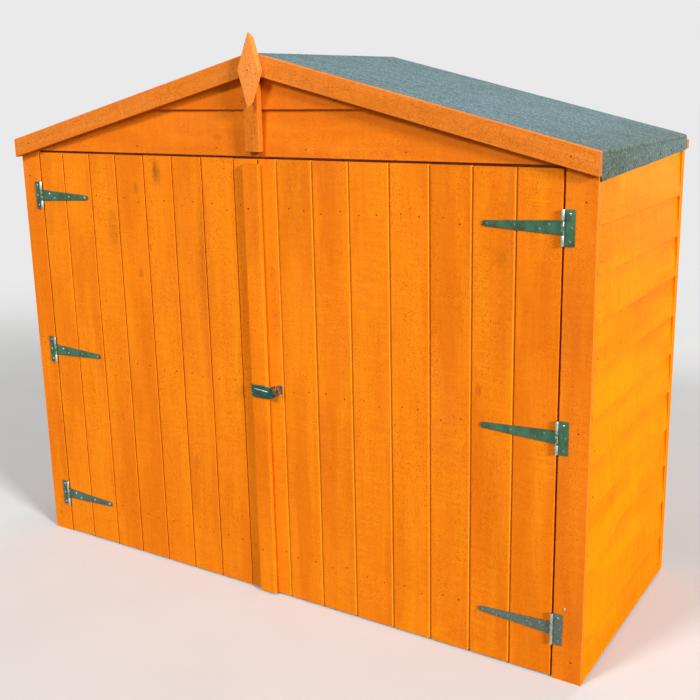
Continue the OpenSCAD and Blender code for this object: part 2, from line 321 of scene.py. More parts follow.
def timber_figure() -> Tree:
    """The figure of sawn softwood, in a board's own axes: along, across, through.

    Returns:
        A shader group with masks for streaks, growth rings, fibres, patches, knots, specks, saw marks
        and fuzz, and a height.
    """
    masks = ("Streak", "Ring", "Fibre", "Patch", "Knot", "Speck", "Saw", "Fuzz", "Height")
    inputs = {"Grain": "Vector", "Knots": "Float"}
    g, start, end = new_group("timber_figure", "ShaderNodeTree", inputs, dict.fromkeys(masks, "Float"))
    grain = start.outputs["Grain"]
    spots = {"Vector": g.scaled(grain, (4.0, 8.0, 0.0)), "Scale": 1.0, "Randomness": 0.9}
    cells = g.add("ShaderNodeTexVoronoi", spots, voronoi_dimensions="2D").outputs
    ragged = g.math("SUBTRACT", g.noise(grain, (60, 110, 110)), 0.5)
    reach = g.math("ADD", cells["Distance"], g.times(ragged, 0.05))
    pick = g.add("ShaderNodeSeparateColor", {0: cells["Color"]}).outputs[0]
    present = g.math("LESS_THAN", pick, start.outputs["Knots"])
    knot = g.times(g.step(reach, 0.035, 0.085, 1.0, 0.0), present)
    halo = g.times(g.step(reach, 0.03, 0.34, 1.0, 0.0), present)
    contour = g.noise(grain, (0.8, 8.0, 8.0), 1.0, 0.4, 0.2)
    ring = g.step(g.math("SINE", g.total((contour, 74.0), (halo, 7.0))), 0.35, 1.0)
    fibre = g.noise(grain, (16, 560, 560), 3.0, 0.6)
    streak = g.noise(grain, (1.6, 27, 27), 4.0, 0.58, 0.3)
    patch = g.noise(grain, (3.4, 11, 11), 3.0, 0.55)
    coarse, fine = g.noise(grain, (105, 9, 9)), g.noise(grain, (330, 26, 26))
    rough = g.step(g.noise(grain, (2.2, 9, 9)), 0.38, 0.62, 0.35, 1.0)
    saw = g.times(g.total((coarse, 0.5), (fine, 0.5)), rough)
    grit = g.step(g.noise(grain, (230, 340, 340), 1.0), 0.54, 0.70)
    dusted = g.step(g.noise(grain, (6, 17, 17)), 0.40, 0.64, 0.40, 1.0)
    speck = g.times(grit, dusted)
    fuzz = g.noise(grain, (64, 120, 120), 4.0, 0.7, 1.4)
    height = g.total((fibre, 0.4), (saw, 0.9), (ring, -0.1), (knot, -0.3), (speck, -0.35))
    for name, value in zip(masks, (streak, ring, fibre, patch, knot, speck, saw, fuzz, height)):
        g.feed(end.inputs[name], value)
    return g.tree


def rubbed_paint() -> Tree:
    """Where paint has rubbed off metal, from a mask of its edges.

    Returns:
        A shader group that gives the bare share, a mottle and a height.
    """
    g, start, end = new_group(
        "rubbed_paint",
        "ShaderNodeTree",
        {"Place": "Vector", "Edge": "Float", "Amount": "Float"},
        {"Bare": "Float", "Mottle": "Float", "Height": "Float"},
    )
    place = start.outputs["Place"]
    chips = g.noise(place, (210, 210, 210), 4.0, 0.65)
    loss = g.math("ADD", chips, g.times(start.outputs["Edge"], start.outputs["Amount"]))
    bare = g.step(loss, 0.70, 0.78)
    mottle = g.noise(place, (45, 45, 45), 3.0)
    fine = g.noise(place, (900, 900, 900), 1.0)
    height = g.total((bare, -0.5), (mottle, 0.3), (fine, 0.2))
    for name, value in (("Bare", bare), ("Mottle", mottle), ("Height", height)):
        g.feed(end.inputs[name], value)
    return g.tree


@dataclass(frozen=True)
class TimberFinish:
    """Stained or sawn timber."""

    name: str
    base: Colour
    pale: Colour
    dull: Colour
    dark: Colour
    knot: Colour
    # Paler colour of the eased edges and chamfers: a painted highlight.
    edge: Colour
    # Colour of the dark streaks: dirt on the doors, painted shade under the wall laps.
    smear: Colour = (0.20, 0.058, 0.008)
    knots: float = 0.06
    streaks: float = 0.6
    patches: float = 0.45
    rings: float = 0.06
    fibres: float = 0.16
    saw: float = 0.6
    fuzz: float = 0.26
    brushed: float = 0.4
    specks: float = 0.7
    knot_mask: float = 0.55
    end_mask: float = 0.6
    pale_tone: float = 0.4
    dark_tone: float = 0.12
    rough: float = 0.62
    gloss: float = 0.06
    relief: float = 0.7
    depth: float = 0.6 * MM

    def material(self, figure: Tree) -> Material:
        """Build the material.

        Args:
            figure: The shared timber figure group.

        Returns:
            A material that reads the attributes grain, tone, mark, edge and end.
        """
        material, g = new_material(self.name)
        wood = g.add("ShaderNodeGroup", node_tree=figure)
        g.feed(wood.inputs["Grain"], g.attribute("grain", "Vector"))
        wood.inputs["Knots"].default_value = self.knots
        out, tone = wood.outputs, g.attribute("tone")
        brush = g.noise(g.place(), (34, 34, 1.5), 3.0, 0.6)
        rubbed = g.step(out["Patch"], 0.25, 0.55, 0.5, 1.0)
        streak_breakup = g.step(out["Fuzz"], 0.36, 0.56, 0.3, 1.0)
        layers = (
            (g.step(out["Streak"], 0.44, 0.70, 0.0, self.streaks), self.pale),
            (g.step(out["Patch"], 0.50, 0.74, 0.0, self.patches), self.dull),
            (g.step(brush, 0.46, 0.70, 0.0, self.brushed), self.pale),
            (g.math("MULTIPLY", tone, self.pale_tone, True), self.pale),
            (g.math("MULTIPLY", tone, -self.dark_tone, True), self.dark),
            (g.step(out["Saw"], 0.42, 0.62, 0.0, self.saw), self.pale),
            (g.step(out["Saw"], 0.34, 0.16, 0.0, self.saw * 0.4), self.dark),
            (g.times(out["Ring"], self.rings), self.dark),
            (g.step(out["Fibre"], 0.48, 0.78, 0.0, self.fibres), self.dark),
            (g.step(out["Fuzz"], 0.52, 0.70, 0.0, self.fuzz), self.dark),
            (g.step(out["Fuzz"], 0.46, 0.30, 0.0, self.fuzz), self.pale),
            (g.times(out["Speck"], self.specks), self.dark),
            (g.times(out["Knot"], self.knot_mask), self.knot),
            # Eased edges and chamfers turn paler, a painted highlight broken up by the patch noise.
            (g.times(g.attribute("edge"), rubbed), self.edge),
            (g.times(g.attribute("end"), self.end_mask), self.dark),
            # Dark streaks from the mark attribute: dirt, and painted shade under the wall laps.
            (g.times(g.attribute("mark"), streak_breakup), self.smear),
        )
        g.surface(
            {
                "Base Color": g.layered(self.base, layers),
                "Roughness": g.step(out["Fibre"], 0.2, 0.8, self.rough - 0.08, self.rough + 0.12),
                "Specular IOR Level": self.gloss,
                "Normal": g.bump(out["Height"], self.relief, self.depth),
            }
        )
        return material


@dataclass(frozen=True)
class FeltFinish:
    """Roofing felt with a dressing of mineral grains."""

    name: str = "mineral_felt"
    shade: Colour = (0.062, 0.087, 0.054)
    bleached: Colour = (0.130, 0.204, 0.223)
    pale_gain: Colour = (2.5, 2.3, 2.2)
    dark_gain: Colour = (0.30, 0.32, 0.33)
    grains: float = 520.0
    gloss: float = 0.1
    relief: float = 0.8
    depth: float = 0.9 * MM

    def material(self) -> Material:
        """Build the material.

        Returns:
            A material that reads Object coordinates and the felt's weathering attribute, which also carries
            a painted sky sheen: 1 on the most bleached felt.
        """
        material, g = new_material(self.name)
        place = g.place()
        spots = {"Vector": place, "Scale": self.grains, "Randomness": 1.0}
        cells = g.add("ShaderNodeTexVoronoi", spots).outputs
        pick = g.add("ShaderNodeSeparateColor", {0: cells["Color"]}).outputs
        cloud = g.noise(place, (9, 6, 9), 4.0, 0.6)
        brushed = g.noise(place, (3, 34, 3), 3.0, 0.6)
        blotch = g.noise(place, (42, 42, 42), 3.0, 0.6)
        clump = g.noise(place, (150, 150, 150), 3.0, 0.7)
        # The upward slopes are paler and bluer than the aprons: weathering, and a painted sky sheen.
        weather = g.times(g.attribute("weather"), g.step(cloud, 0.2, 0.6, 0.72, 1.0))
        colour = g.mix(weather, self.shade, self.bleached)
        darker = (
            g.step(blotch, 0.52, 0.74, 0.0, 0.42),
            g.step(brushed, 0.48, 0.68, 0.0, 0.24),
            g.step(clump, 0.49, 0.36, 0.0, 0.62),
            g.step(pick[1], 0.66, 0.96, 0.0, 0.70),
        )
        paler = (g.step(clump, 0.52, 0.66, 0.0, 0.42), g.step(pick[0], 0.70, 0.98, 0.0, 0.62))
        gains = [(share, self.dark_gain) for share in darker] + [(share, self.pale_gain) for share in paler]
        height = g.total((g.math("SUBTRACT", 1.0, cells["Distance"]), 0.6), (blotch, 0.4))
        g.surface(
            {
                "Base Color": g.layered(colour, gains, "MULTIPLY"),
                "Roughness": g.step(pick[2], 0.0, 1.0, 0.78, 0.95),
                "Specular IOR Level": self.gloss,
                "Normal": g.bump(height, self.relief, self.depth),
            }
        )
        return material


@dataclass(frozen=True)
class MetalFinish:
    """Painted, plated or bare steel; bare metal shows where the paint is rubbed."""

    name: str
    paint: Colour
    metal: Colour
    amount: float
    paint_rough: float = 0.34
    metal_rough: float = 0.42
    painted: bool = True
    gloss: float = 0.5
    aged: Colour = (0.085, 0.105, 0.092)
    paint_shade: float = 0.5
    metal_shade: float = 0.55
    relief: float = 0.5
    depth: float = 0.2 * MM

    def material(self, rubbed: Tree) -> Material:
        """Build the material.

        Args:
            rubbed: The shared group for rubbed paint.

        Returns:
            A material that reads Object coordinates and the attributes wear and age.
        """
        material, g = new_material(self.name)
        wear = g.add("ShaderNodeGroup", node_tree=rubbed)
        g.feed(wear.inputs["Place"], g.place())
        age = g.attribute("age")
        g.feed(wear.inputs["Edge"], g.total((g.attribute("wear"), 1.0), (age, 0.35)))
        wear.inputs["Amount"].default_value = self.amount
        bare, mottle = wear.outputs["Bare"], wear.outputs["Mottle"]
        shaded = tuple(self.paint_shade * c for c in self.paint)
        tarnish = tuple(self.metal_shade * c for c in self.metal)
        coat = g.mix(g.step(mottle, 0.35, 0.70), self.paint, shaded)
        coat = g.mix(g.times(age, 0.8), coat, self.aged)
        steel = g.mix(g.step(mottle, 0.40, 0.66, 0.0, 0.6), self.metal, tarnish)
        g.surface(
            {
                "Base Color": g.mix(bare, coat, steel),
                "Metallic": bare if self.painted else 1.0,
                "Roughness": g.step(bare, 0.0, 1.0, self.paint_rough, self.metal_rough),
                "Specular IOR Level": self.gloss,
                "Normal": g.bump(wear.outputs["Height"], self.relief, self.depth),
            }
        )
        return material


@dataclass(frozen=True)
class Finishes:
    """Every material of the store, built once."""

    boards: Material
    walls: Material
    deep: Material
    trim: Material
    framing: Material
    felt: Material
    enamel: Material
    flap_enamel: Material
    zinc: Material
    dulled_zinc: Material
    passivated: Material
    nail: Material

    @classmethod
    def build(cls) -> "Finishes":
        """Build the shared groups and all materials.

        Returns:
            The materials.
        """
        figure, rubbed = timber_figure(), rubbed_paint()
        timbers = {key: finish.material(figure) for key, finish in cls._timbers().items()}
        metals = {key: finish.material(rubbed) for key, finish in cls._metals().items()}
        return cls(felt=FeltFinish().material(), **timbers, **metals)

    @staticmethod
    def _timbers() -> dict[str, TimberFinish]:
        """The timber finishes.

        Returns:
            The finishes by field name.
        """
        boards = TimberFinish(
            "stained_boards",
            base=(0.815, 0.196, 0.004),
            pale=(0.875, 0.258, 0.005),
            dull=(0.775, 0.182, 0.014),
            dark=(0.52, 0.085, 0.001),
            knot=(0.50, 0.100, 0.006),
            edge=(0.88, 0.275, 0.008),
        )
        # The cladding's stain: a yellower copy of the doors' stain with more pale brushing, painted light
        # that gives the look of a brightly lit wall.
        walls = replace(
            boards,
            name="stained_wall_boards",
            base=(0.81, 0.209, 0.001),
            pale=(0.89, 0.276, 0.001),
            dull=(0.79, 0.215, 0.004),
            streaks=0.3,
            patches=0.2,
            brushed=0.75,
            gloss=0.01,
        )
        deep = replace(
            boards,
            name="deep_stained_boards",
            base=(0.75, 0.173, 0.005),
            pale=(0.82, 0.220, 0.008),
            dull=(0.68, 0.156, 0.014),
        )
        trim = TimberFinish(
            "stained_trim",
            base=(0.685, 0.173, 0.008),
            pale=(0.88, 0.284, 0.056),
            dull=(0.63, 0.158, 0.012),
            dark=(0.34, 0.066, 0.006),
            knot=(0.38, 0.080, 0.010),
            edge=(0.70, 0.195, 0.020),
            streaks=0.35,
            patches=0.6,
            fibres=0.24,
            saw=0.25,
            fuzz=0.34,
            brushed=0.1,
            depth=0.8 * MM,
        )
        framing = TimberFinish(
            "sawn_framing",
            base=(0.60, 0.300, 0.095),
            pale=(0.70, 0.390, 0.140),
            dull=(0.52, 0.260, 0.090),
            dark=(0.30, 0.120, 0.030),
            knot=(0.20, 0.080, 0.022),
            edge=(0.70, 0.400, 0.150),
            knots=0.16,
            rings=0.30,
            fibres=0.30,
            brushed=0.1,
            rough=0.72,
            depth=0.7 * MM,
        )
        return {"boards": boards, "walls": walls, "deep": deep, "trim": trim, "framing": framing}

    @staticmethod
    def _metals() -> dict[str, MetalFinish]:
        """The metal finishes.

        Returns:
            The finishes by field name.
        """
        enamel = MetalFinish("green_enamel", (0.031, 0.121, 0.057), (0.50, 0.58, 0.51), 0.30)
        zinc = MetalFinish("zinc_plate", (0.60, 0.62, 0.62), (0.72, 0.74, 0.74), 0.5, 0.36, 0.30, False)
        nail = MetalFinish("nail_steel", (0.10, 0.030, 0.004), (0.16, 0.08, 0.03), 0.0, 0.8, 0.6, gloss=0.1)
        return {
            "enamel": enamel,
            "flap_enamel": replace(
                enamel, name="flap_enamel", paint=(0.014, 0.092, 0.062), paint_rough=0.30, gloss=0.3
            ),
            "zinc": zinc,
            "dulled_zinc": MetalFinish(
                "dulled_zinc", (0.085, 0.08, 0.07), (0.72, 0.70, 0.64), 0.45, 0.4, 0.34
            ),
            "passivated": MetalFinish(
                "passivated_steel", (0.14, 0.19, 0.13), (0.50, 0.50, 0.42), 0.3, 0.4, 0.4
            ),
            "nail": nail,
        }


@dataclass(frozen=True)
class Grain:
    """Directions of a board: along its length, across its face, and in through its thickness."""

    along: Vector
    across: Vector
    through: Vector

    @property
    def axes(self) -> tuple[Vector, Vector, Vector]:
        """The three directions in order."""
        return self.along, self.across, self.through


@dataclass(frozen=True)
class Mark:
    """A dark streak on a board's face: dirt on the doors, painted shade under the laps of the wall boards.
    """

    centre: Vector
    half_length: float
    half_width: float
    strength: float
    depth: float = 4 * MM

    def at(self, point: Vector, grain: Grain) -> float:
        """How strong the streak is at a point.

        Args:
            point: The point.
            grain: Directions of the board.

        Returns:
            A value from 0 to 1.
        """
        along, across, through = [(point - self.centre).dot(way) for way in grain.axes]
        far = math.hypot(along / self.half_length, across / self.half_width)
        return self.strength * max(0.0, 1.0 - far) if abs(through) < self.depth else 0.0


def cut_away(bm: bmesh.types.BMesh, planes: Sequence[Plane]) -> None:
    """Cut a shape and close the cuts.

    Args:
        bm: The shape.
        planes: Each a point and the direction of what is cut away.
    """
    for point, away in planes:
        whole = bm.verts[:] + bm.edges[:] + bm.faces[:]
        bmesh.ops.bisect_plane(bm, geom=whole, dist=1e-7, plane_co=point, plane_no=away, clear_outer=True)
        bmesh.ops.holes_fill(bm, edges=[e for e in bm.edges if e.is_boundary], sides=0)


class TimberPiece:
    """Boards gathered in one mesh, each with its own place in the timber's figure."""

    # How far apart two boards may lie in the figure, and how far their tones may differ.
    FIGURE_SPAN = 40.0
    TONE_SPAN = 0.6
    # Edges that are eased, in radians, and faces that count as slanted or as an end.
    SHARP = 0.6
    SLANTED = 0.92
    ENDWISE = 0.4
    # Length of one division of a plain board.
    DIVISION = 0.08

    def __init__(self, name: str) -> None:
        """Start an empty piece.

        Args:
            name: Name of the piece, which also seeds what varies from board to board.
        """
        self.name = name
        self.random = random.Random(name)
        self.points: list[Vector] = []
        self.faces: list[list[int]] = []
        self.grain: list[Vector] = []
        self.tone: list[float] = []
        self.mark: list[float] = []
        self.edge: list[float] = []
        self.end: list[float] = []

    def add(
        self,
        outline: Sequence[Vector],
        sweep: Vector,
        grain: Grain,
        steps: int = 1,
        ease: float = 0.8 * MM,
        wander: float = 0.0,
        cuts: Sequence[Plane] = (),
        marks: Sequence[Mark] = (),
        tone: float | None = None,
    ) -> None:
        """Add one board, swept from an outline.

        Args:
            outline: Corners of the board's end, in order.
            sweep: From the first end to the other.
            grain: The board's directions.
            steps: Lengths that the sweep is divided into.
            ease: Width of the eased edges.
            wander: How far the edges pull in and the face dips along the board.
            cuts: Planes, each a point and the direction of what is cut away.
            marks: Dark streaks, of dirt and of painted shade under laps.
            tone: Dull below 0, pale above; taken at random where it isn't given.
        """
        bm = bmesh.new()
        rings = [[bm.verts.new(p + sweep * (k / steps)) for p in outline] for k in range(steps + 1)]
        count = len(outline)
        for low, high in zip(rings, rings[1:]):
            for k in range(count):
                n = (k + 1) % count
                bm.faces.new((low[k], low[n], high[n], high[k]))
        bm.faces.new(rings[0])
        bm.faces.new(rings[-1])
        bmesh.ops.recalc_face_normals(bm, faces=bm.faces[:])
        phase = Vector([self.random.uniform(0, self.FIGURE_SPAN) for _ in range(3)])
        if wander:
            self._wander(bm, grain, phase, wander)
        cut_away(bm, cuts)
        sharp = [e for e in bm.edges if e.is_manifold and e.calc_face_angle(0) > self.SHARP]
        if ease and sharp:
            bmesh.ops.bevel(
                bm, geom=sharp, offset=ease, segments=1, profile=0.5, affect="EDGES", clamp_overlap=True
            )
        level = self.random.uniform(-self.TONE_SPAN, self.TONE_SPAN) if tone is None else tone
        self._gather(bm, grain, phase, level, marks)
        bm.free()

    def _gather(
        self, bm: bmesh.types.BMesh, grain: Grain, phase: Vector, tone: float, marks: Sequence[Mark]
    ) -> None:
        """Take a finished board into the piece.

        Args:
            bm: The board.
            grain: Its directions.
            phase: Its place in the timber's figure.
            tone: How dull or pale it is.
            marks: Dark streaks, of dirt and of painted shade under laps.
        """
        first = len(self.points)
        bm.verts.index_update()
        for vert in bm.verts:
            self.points.append(vert.co.copy())
            self.grain.append(Vector([vert.co.dot(way) for way in grain.axes]) + phase)
            self.tone.append(tone)
            self.mark.append(max([m.at(vert.co, grain) for m in marks], default=0.0))
        bm.normal_update()
        for face in bm.faces:
            self.faces.append([first + v.index for v in face.verts])
            square = max(abs(face.normal.dot(way)) for way in grain.axes)
            endwise = abs(face.normal.dot(grain.along))
            # Eased edges and chamfers take the paler edge colour, a painted highlight; end grain takes the
            # darker end colour.
            self.edge.append(1.0 if square < self.SLANTED and endwise < self.ENDWISE else 0.0)
            self.end.append(1.0 if endwise > self.ENDWISE else 0.0)

    def add_box(self, box: Box, grain: Grain, **options: Any) -> None:
        """Add a board that fills a box.

        Args:
            box: Lowest and highest corners.
            grain: The board's directions, along the axes.
            **options: As for add.
        """
        middle, size = (box[0] + box[1]) / 2, box[1] - box[0]
        half = [way * abs(size.dot(way)) / 2 for way in grain.axes]
        outline = [middle - half[0] + half[1] * u - half[2] for u in (-1.0, -1 / 3, 1 / 3, 1.0)]
        outline += [middle - half[0] + half[1] * u + half[2] for u in (1.0, -1.0)]
        options.setdefault("steps", max(1, round(half[0].length * 2 / self.DIVISION)))
        self.add(outline, half[0] * 2, grain, **options)

    def build(self, material: Material) -> Piece:
        """Make the mesh object, with the attributes that timber reads.

        Args:
            material: The timber's finish.

        Returns:
            The object.
        """
        mesh = bpy.data.meshes.new(self.name)
        mesh.from_pydata(self.points, [], self.faces)
        vectors = mesh.attributes.new("grain", "FLOAT_VECTOR", "POINT")
        vectors.data.foreach_set("vector", [c for v in self.grain for c in v])
        for domain, names in (("POINT", ("tone", "mark")), ("FACE", ("edge", "end"))):
            for name in names:
                values = mesh.attributes.new(name, "FLOAT", domain)
                values.data.foreach_set("value", getattr(self, name))
        mesh.materials.append(material)
        return shown(self.name, mesh)

    @staticmethod
    def _wander(bm: bmesh.types.BMesh, grain: Grain, phase: Vector, most: float) -> None:
        """Pull the edges in and dip the face a little, slowly along the board.

        Args:
            bm: The board.
            grain: Its directions.
            phase: Its place in the timber's figure.
            most: How far the edges pull in at most.
        """
        middle = sum((v.co for v in bm.verts), Vector()) / len(bm.verts)
        half = max(abs((v.co - middle).dot(grain.across)) for v in bm.verts)
        for vert in bm.verts:
            length = vert.co.dot(grain.along)
            side = (vert.co - middle).dot(grain.across) / half
            edge = 0.5 + 0.5 * noise.noise(Vector((length * 3.1, 3.0 if side > 0 else 9.0, 0.0)) + phase)
            dip = 0.5 + 0.5 * noise.noise(Vector((length * 2.2, 17.0 + side, 0.0)) + phase)
            vert.co -= grain.across * (side * edge * most)
            vert.co += grain.through * (dip * most * 0.6)


def shown(name: str, mesh: bpy.types.Mesh) -> Piece:
    """Put a mesh in the scene.

    Args:
        name: Name of the object.
        mesh: Its mesh, with its place in it.

    Returns:
        The object, at the origin.
    """
    obj = bpy.data.objects.new(name, mesh)
    bpy.context.scene.collection.objects.link(obj)
    return obj


def place(piece: Piece, body: Body, slot: Slot, *nodes: str) -> None:
    """Tie a piece to the frame.

    Args:
        piece: The finished piece.
        body: The body that it rides on.
        slot: The record's finish for it; not used.
        *nodes: The solids that it stands for.
    """
    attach(piece, body.value)
    if nodes:
        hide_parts(*nodes)
    LOG.info("%s: %d faces on %s", piece.name, len(piece.data.polygons), body.value)


def turn_outward(mesh: bpy.types.Mesh) -> None:
    """Turn the faces of a closed mesh outwards.

    Args:
        mesh: The mesh.
    """
    bm = bmesh.new()
    bm.from_mesh(mesh)
    bmesh.ops.recalc_face_normals(bm, faces=bm.faces[:])
    bm.to_mesh(mesh)
    bm.free()


def smoothed(name: str, mesh: bpy.types.Mesh, material: Material, crease: float) -> Piece:
    """Show a mesh with smooth shading.

    Args:
        name: Name of the object.
        mesh: Its mesh.
        material: Its finish.
        crease: Angle in degrees over which an edge stays sharp.

    Returns:
        The object.
    """
    mesh.polygons.foreach_set("use_smooth", [True] * len(mesh.polygons))
    mesh.set_sharp_from_angle(angle=math.radians(crease))
    mesh.materials.clear()
    mesh.materials.append(material)
    return shown(name, mesh)


def merged_copy(node: str) -> bmesh.types.BMesh:
    """Copy a solid's mesh.

    Args:
        node: Name of the node.

    Returns:
        The copy, with its loose triangles joined into flat faces.
    """
    bm = bmesh.new()
    bm.from_mesh(frame["nodes"][node].data)
    bmesh.ops.remove_doubles(bm, verts=bm.verts[:], dist=1e-6)
    bmesh.ops.dissolve_limit(bm, angle_limit=math.radians(0.5), verts=bm.verts[:], edges=bm.edges[:])
    return bm


def solids(node: str) -> list[Box]:
    """The boxes of a node's separate solids, lowest first.

    Args:
        node: Name of the node.

    Returns:
        Lowest and highest corner of each solid.
    """
    bm = merged_copy(node)
    left, boxes = set(bm.verts), []
    while left:
        reached, queue = set(), [left.pop()]
        while queue:
            vert = queue.pop()
            reached.add(vert)
            near = {e.other_vert(vert) for e in vert.link_edges} & left
            left -= near
            queue += near
        low, high = [Vector([end(v.co[k] for v in reached) for k in range(3)]) for end in (min, max)]
        boxes.append((low, high))
    bm.free()
    return sorted(boxes, key=lambda b: (round(b[0].z, 4), b[0].x))


def roof_planes(node: str = "ridge_rail") -> list[Plane]:
    """Two planes along the roof slopes that cut away what is over them.

    Args:
        node: The solid whose top they meet in, under the ridge.

    Returns:
        The planes.
    """
    top = Vector((0, 0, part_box(node)[1].z))
    return [(top, Vector((s * SIN, 0, COS))) for s in (-1, 1)]


def slope_axes(side: Side) -> tuple[Vector, Vector]:
    """Directions of one roof slope.

    Args:
        side: The slope's side of the ridge.

    Returns:
        Down the slope, and in through it.
    """
    return Vector((side.value * COS, 0, -SIN)), Vector((-side.value * SIN, 0, -COS))


class FixingTree:
    """A geometry tree that puts a head on every point of a mesh, facing along the attribute facing."""

    def __init__(self, head: Head) -> None:
        """Build the tree.

        Args:
            head: The shape of the heads.
        """
        sizes = {"Geometry": "Geometry", "Diameter": "Float", "Height": "Float", "Spread": "Float"}
        g, start, end = new_group(
            head.value + "_heads",
            "GeometryNodeTree",
            {**sizes, "Seed": "Int", "Finish": "Material"},
            {"Geometry": "Geometry"},
        )
        self.tree = g.tree
        given = start.outputs
        shape = self._flat(g, given) if head is Head.FLAT else self._cross_slot(g, given)
        facing = g.named("facing", "FLOAT_VECTOR")
        upright = g.add("FunctionNodeAlignRotationToVector", {"Vector": facing}, axis="Z").outputs[0]
        turn = g.add("FunctionNodeRandomValue", {2: 0.0, 3: math.tau, 8: given["Seed"]}, data_type="FLOAT")
        angles = g.add("ShaderNodeCombineXYZ", {2: turn.outputs[1]}).outputs[0]
        spin = g.add("FunctionNodeEulerToRotation", {0: angles}).outputs[0]
        turned = g.add("FunctionNodeRotateRotation", {0: upright, 1: spin}, rotation_space="LOCAL")
        least, most = [g.math(way, 1.0, given["Spread"]) for way in ("SUBTRACT", "ADD")]
        size = g.add("FunctionNodeRandomValue", {2: least, 3: most, 8: given["Seed"]}, data_type="FLOAT")
        pose = {"Rotation": turned.outputs[0], "Scale": size.outputs[1]}
        inputs = {"Points": given["Geometry"], "Instance": shape, **pose}
        heads = g.add("GeometryNodeInstanceOnPoints", inputs)
        real = g.add("GeometryNodeRealizeInstances", {"Geometry": heads.outputs[0]})
        finish = {"Geometry": real.outputs[0], "Material": given["Finish"]}
        g.feed(end.inputs["Geometry"], g.add("GeometryNodeSetMaterial", finish).outputs[0])

    @staticmethod
    def _flat(g: Graph, given: Any) -> Socket:
        """A flat nail head with a chamfered rim.

        Args:
            g: The tree's graph.
            given: The tree's inputs.

        Returns:
            The head's geometry.
        """
        radius = g.times(given["Diameter"], 0.5)
        rim = {"Radius Top": g.times(radius, 0.74), "Radius Bottom": radius}
        return g.add("GeometryNodeMeshCone", {"Vertices": 12, **rim, "Depth": given["Height"]}).outputs[0]

    @staticmethod
    def _cross_slot(g: Graph, given: Any) -> Socket:
        """A round screw head with a crossed slot cut into it.

        Args:
            g: The tree's graph.
            given: The tree's inputs.

        Returns:
            The head's geometry.
        """
        width, height = given["Diameter"], given["Height"]
        round_form = {"Segments": 20, "Rings": 10, "Radius": g.times(width, 0.5)}
        ball = g.add("GeometryNodeMeshUVSphere", round_form).outputs[0]
        flat = g.math("DIVIDE", g.times(height, 2.0), width)
        squash = g.add("ShaderNodeCombineXYZ", {0: 1.0, 1: 1.0, 2: flat}).outputs[0]
        dome = g.add("GeometryNodeTransform", {"Geometry": ball, "Scale": squash}).outputs[0]
        long, narrow = g.times(width, 0.62), g.times(width, 0.13)
        top = g.add("ShaderNodeCombineXYZ", {2: height}).outputs[0]
        cut = g.add("GeometryNodeMeshBoolean", {"Mesh 1": dome}, operation="DIFFERENCE")
        for across, along in ((long, narrow), (narrow, long)):
            size = g.add("ShaderNodeCombineXYZ", {0: across, 1: along, 2: height}).outputs[0]
            bar = g.add("GeometryNodeMeshCube", {"Size": size}).outputs[0]
            moved = g.add("GeometryNodeTransform", {"Geometry": bar, "Translation": top}).outputs[0]
            g.tree.links.new(moved, cut.inputs["Mesh 2"])
        return cut.outputs[0]


class CourseTree:
    """A geometry tree that stacks one overlap board into courses, each with its own figure and lean."""

    FIGURE_SPAN = (30.0, 30.0, 30.0)
    TONES = (-0.5, 0.9)

    def __init__(self) -> None:
        """Build the tree."""
        sizes = {"Geometry": "Geometry", "Count": "Int", "Pitch": "Float", "Lean": "Vector"}
        g, start, end = new_group(
            "overlap_courses",
            "GeometryNodeTree",
            {**sizes, "Seed": "Int", "Finish": "Material"},
            {"Geometry": "Geometry"},
        )
        self.tree = g.tree
        given = start.outputs
        seed = {8: given["Seed"]}
        rise = g.add("ShaderNodeCombineXYZ", {2: given["Pitch"]}).outputs[0]
        feet = g.add("GeometryNodeMeshLine", {"Count": given["Count"], "Offset": rise}).outputs[0]
        back = g.scaled(given["Lean"], (-1, -1, -1))
        vectors = ({0: back, 1: given["Lean"]}, {0: (0, 0, 0), 1: self.FIGURE_SPAN})
        lean, shift = [
            g.add("FunctionNodeRandomValue", {**ends, **seed}, data_type="FLOAT_VECTOR").outputs[0]
            for ends in vectors
        ]
        turn = g.add("FunctionNodeEulerToRotation", {0: lean}).outputs[0]
        inputs = {"Points": feet, "Instance": given["Geometry"], "Rotation": turn}
        flow = g.add("GeometryNodeInstanceOnPoints", inputs).outputs[0]
        tones = {2: self.TONES[0], 3: self.TONES[1], **seed}
        tone = g.add("FunctionNodeRandomValue", tones, data_type="FLOAT").outputs[1]
        flow = self._store(g, flow, "shift", "FLOAT_VECTOR", "INSTANCE", shift)
        flow = self._store(g, flow, "level", "FLOAT", "INSTANCE", tone)
        flow = g.add("GeometryNodeRealizeInstances", {"Geometry": flow}).outputs[0]
        own, moved = [g.named(name, "FLOAT_VECTOR") for name in ("grain", "shift")]
        figure = g.add("ShaderNodeVectorMath", {0: own, 1: moved}, operation="ADD").outputs[0]
        level = g.named("level", "FLOAT")
        flow = self._store(g, flow, "grain", "FLOAT_VECTOR", "POINT", figure)
        flow = self._store(g, flow, "tone", "FLOAT", "POINT", level)
        dressed = g.add("GeometryNodeSetMaterial", {"Geometry": flow, "Material": given["Finish"]})
        g.feed(end.inputs["Geometry"], dressed.outputs[0])

    @staticmethod
    def _store(g: Graph, flow: Socket, name: str, kind: str, domain: str, value: Socket) -> Socket:
        """Store a named attribute on the flow of geometry."""
        inputs = {"Geometry": flow, "Name": name, "Value": value}
        return g.add("GeometryNodeStoreNamedAttribute", inputs, data_type=kind, domain=domain).outputs[0]


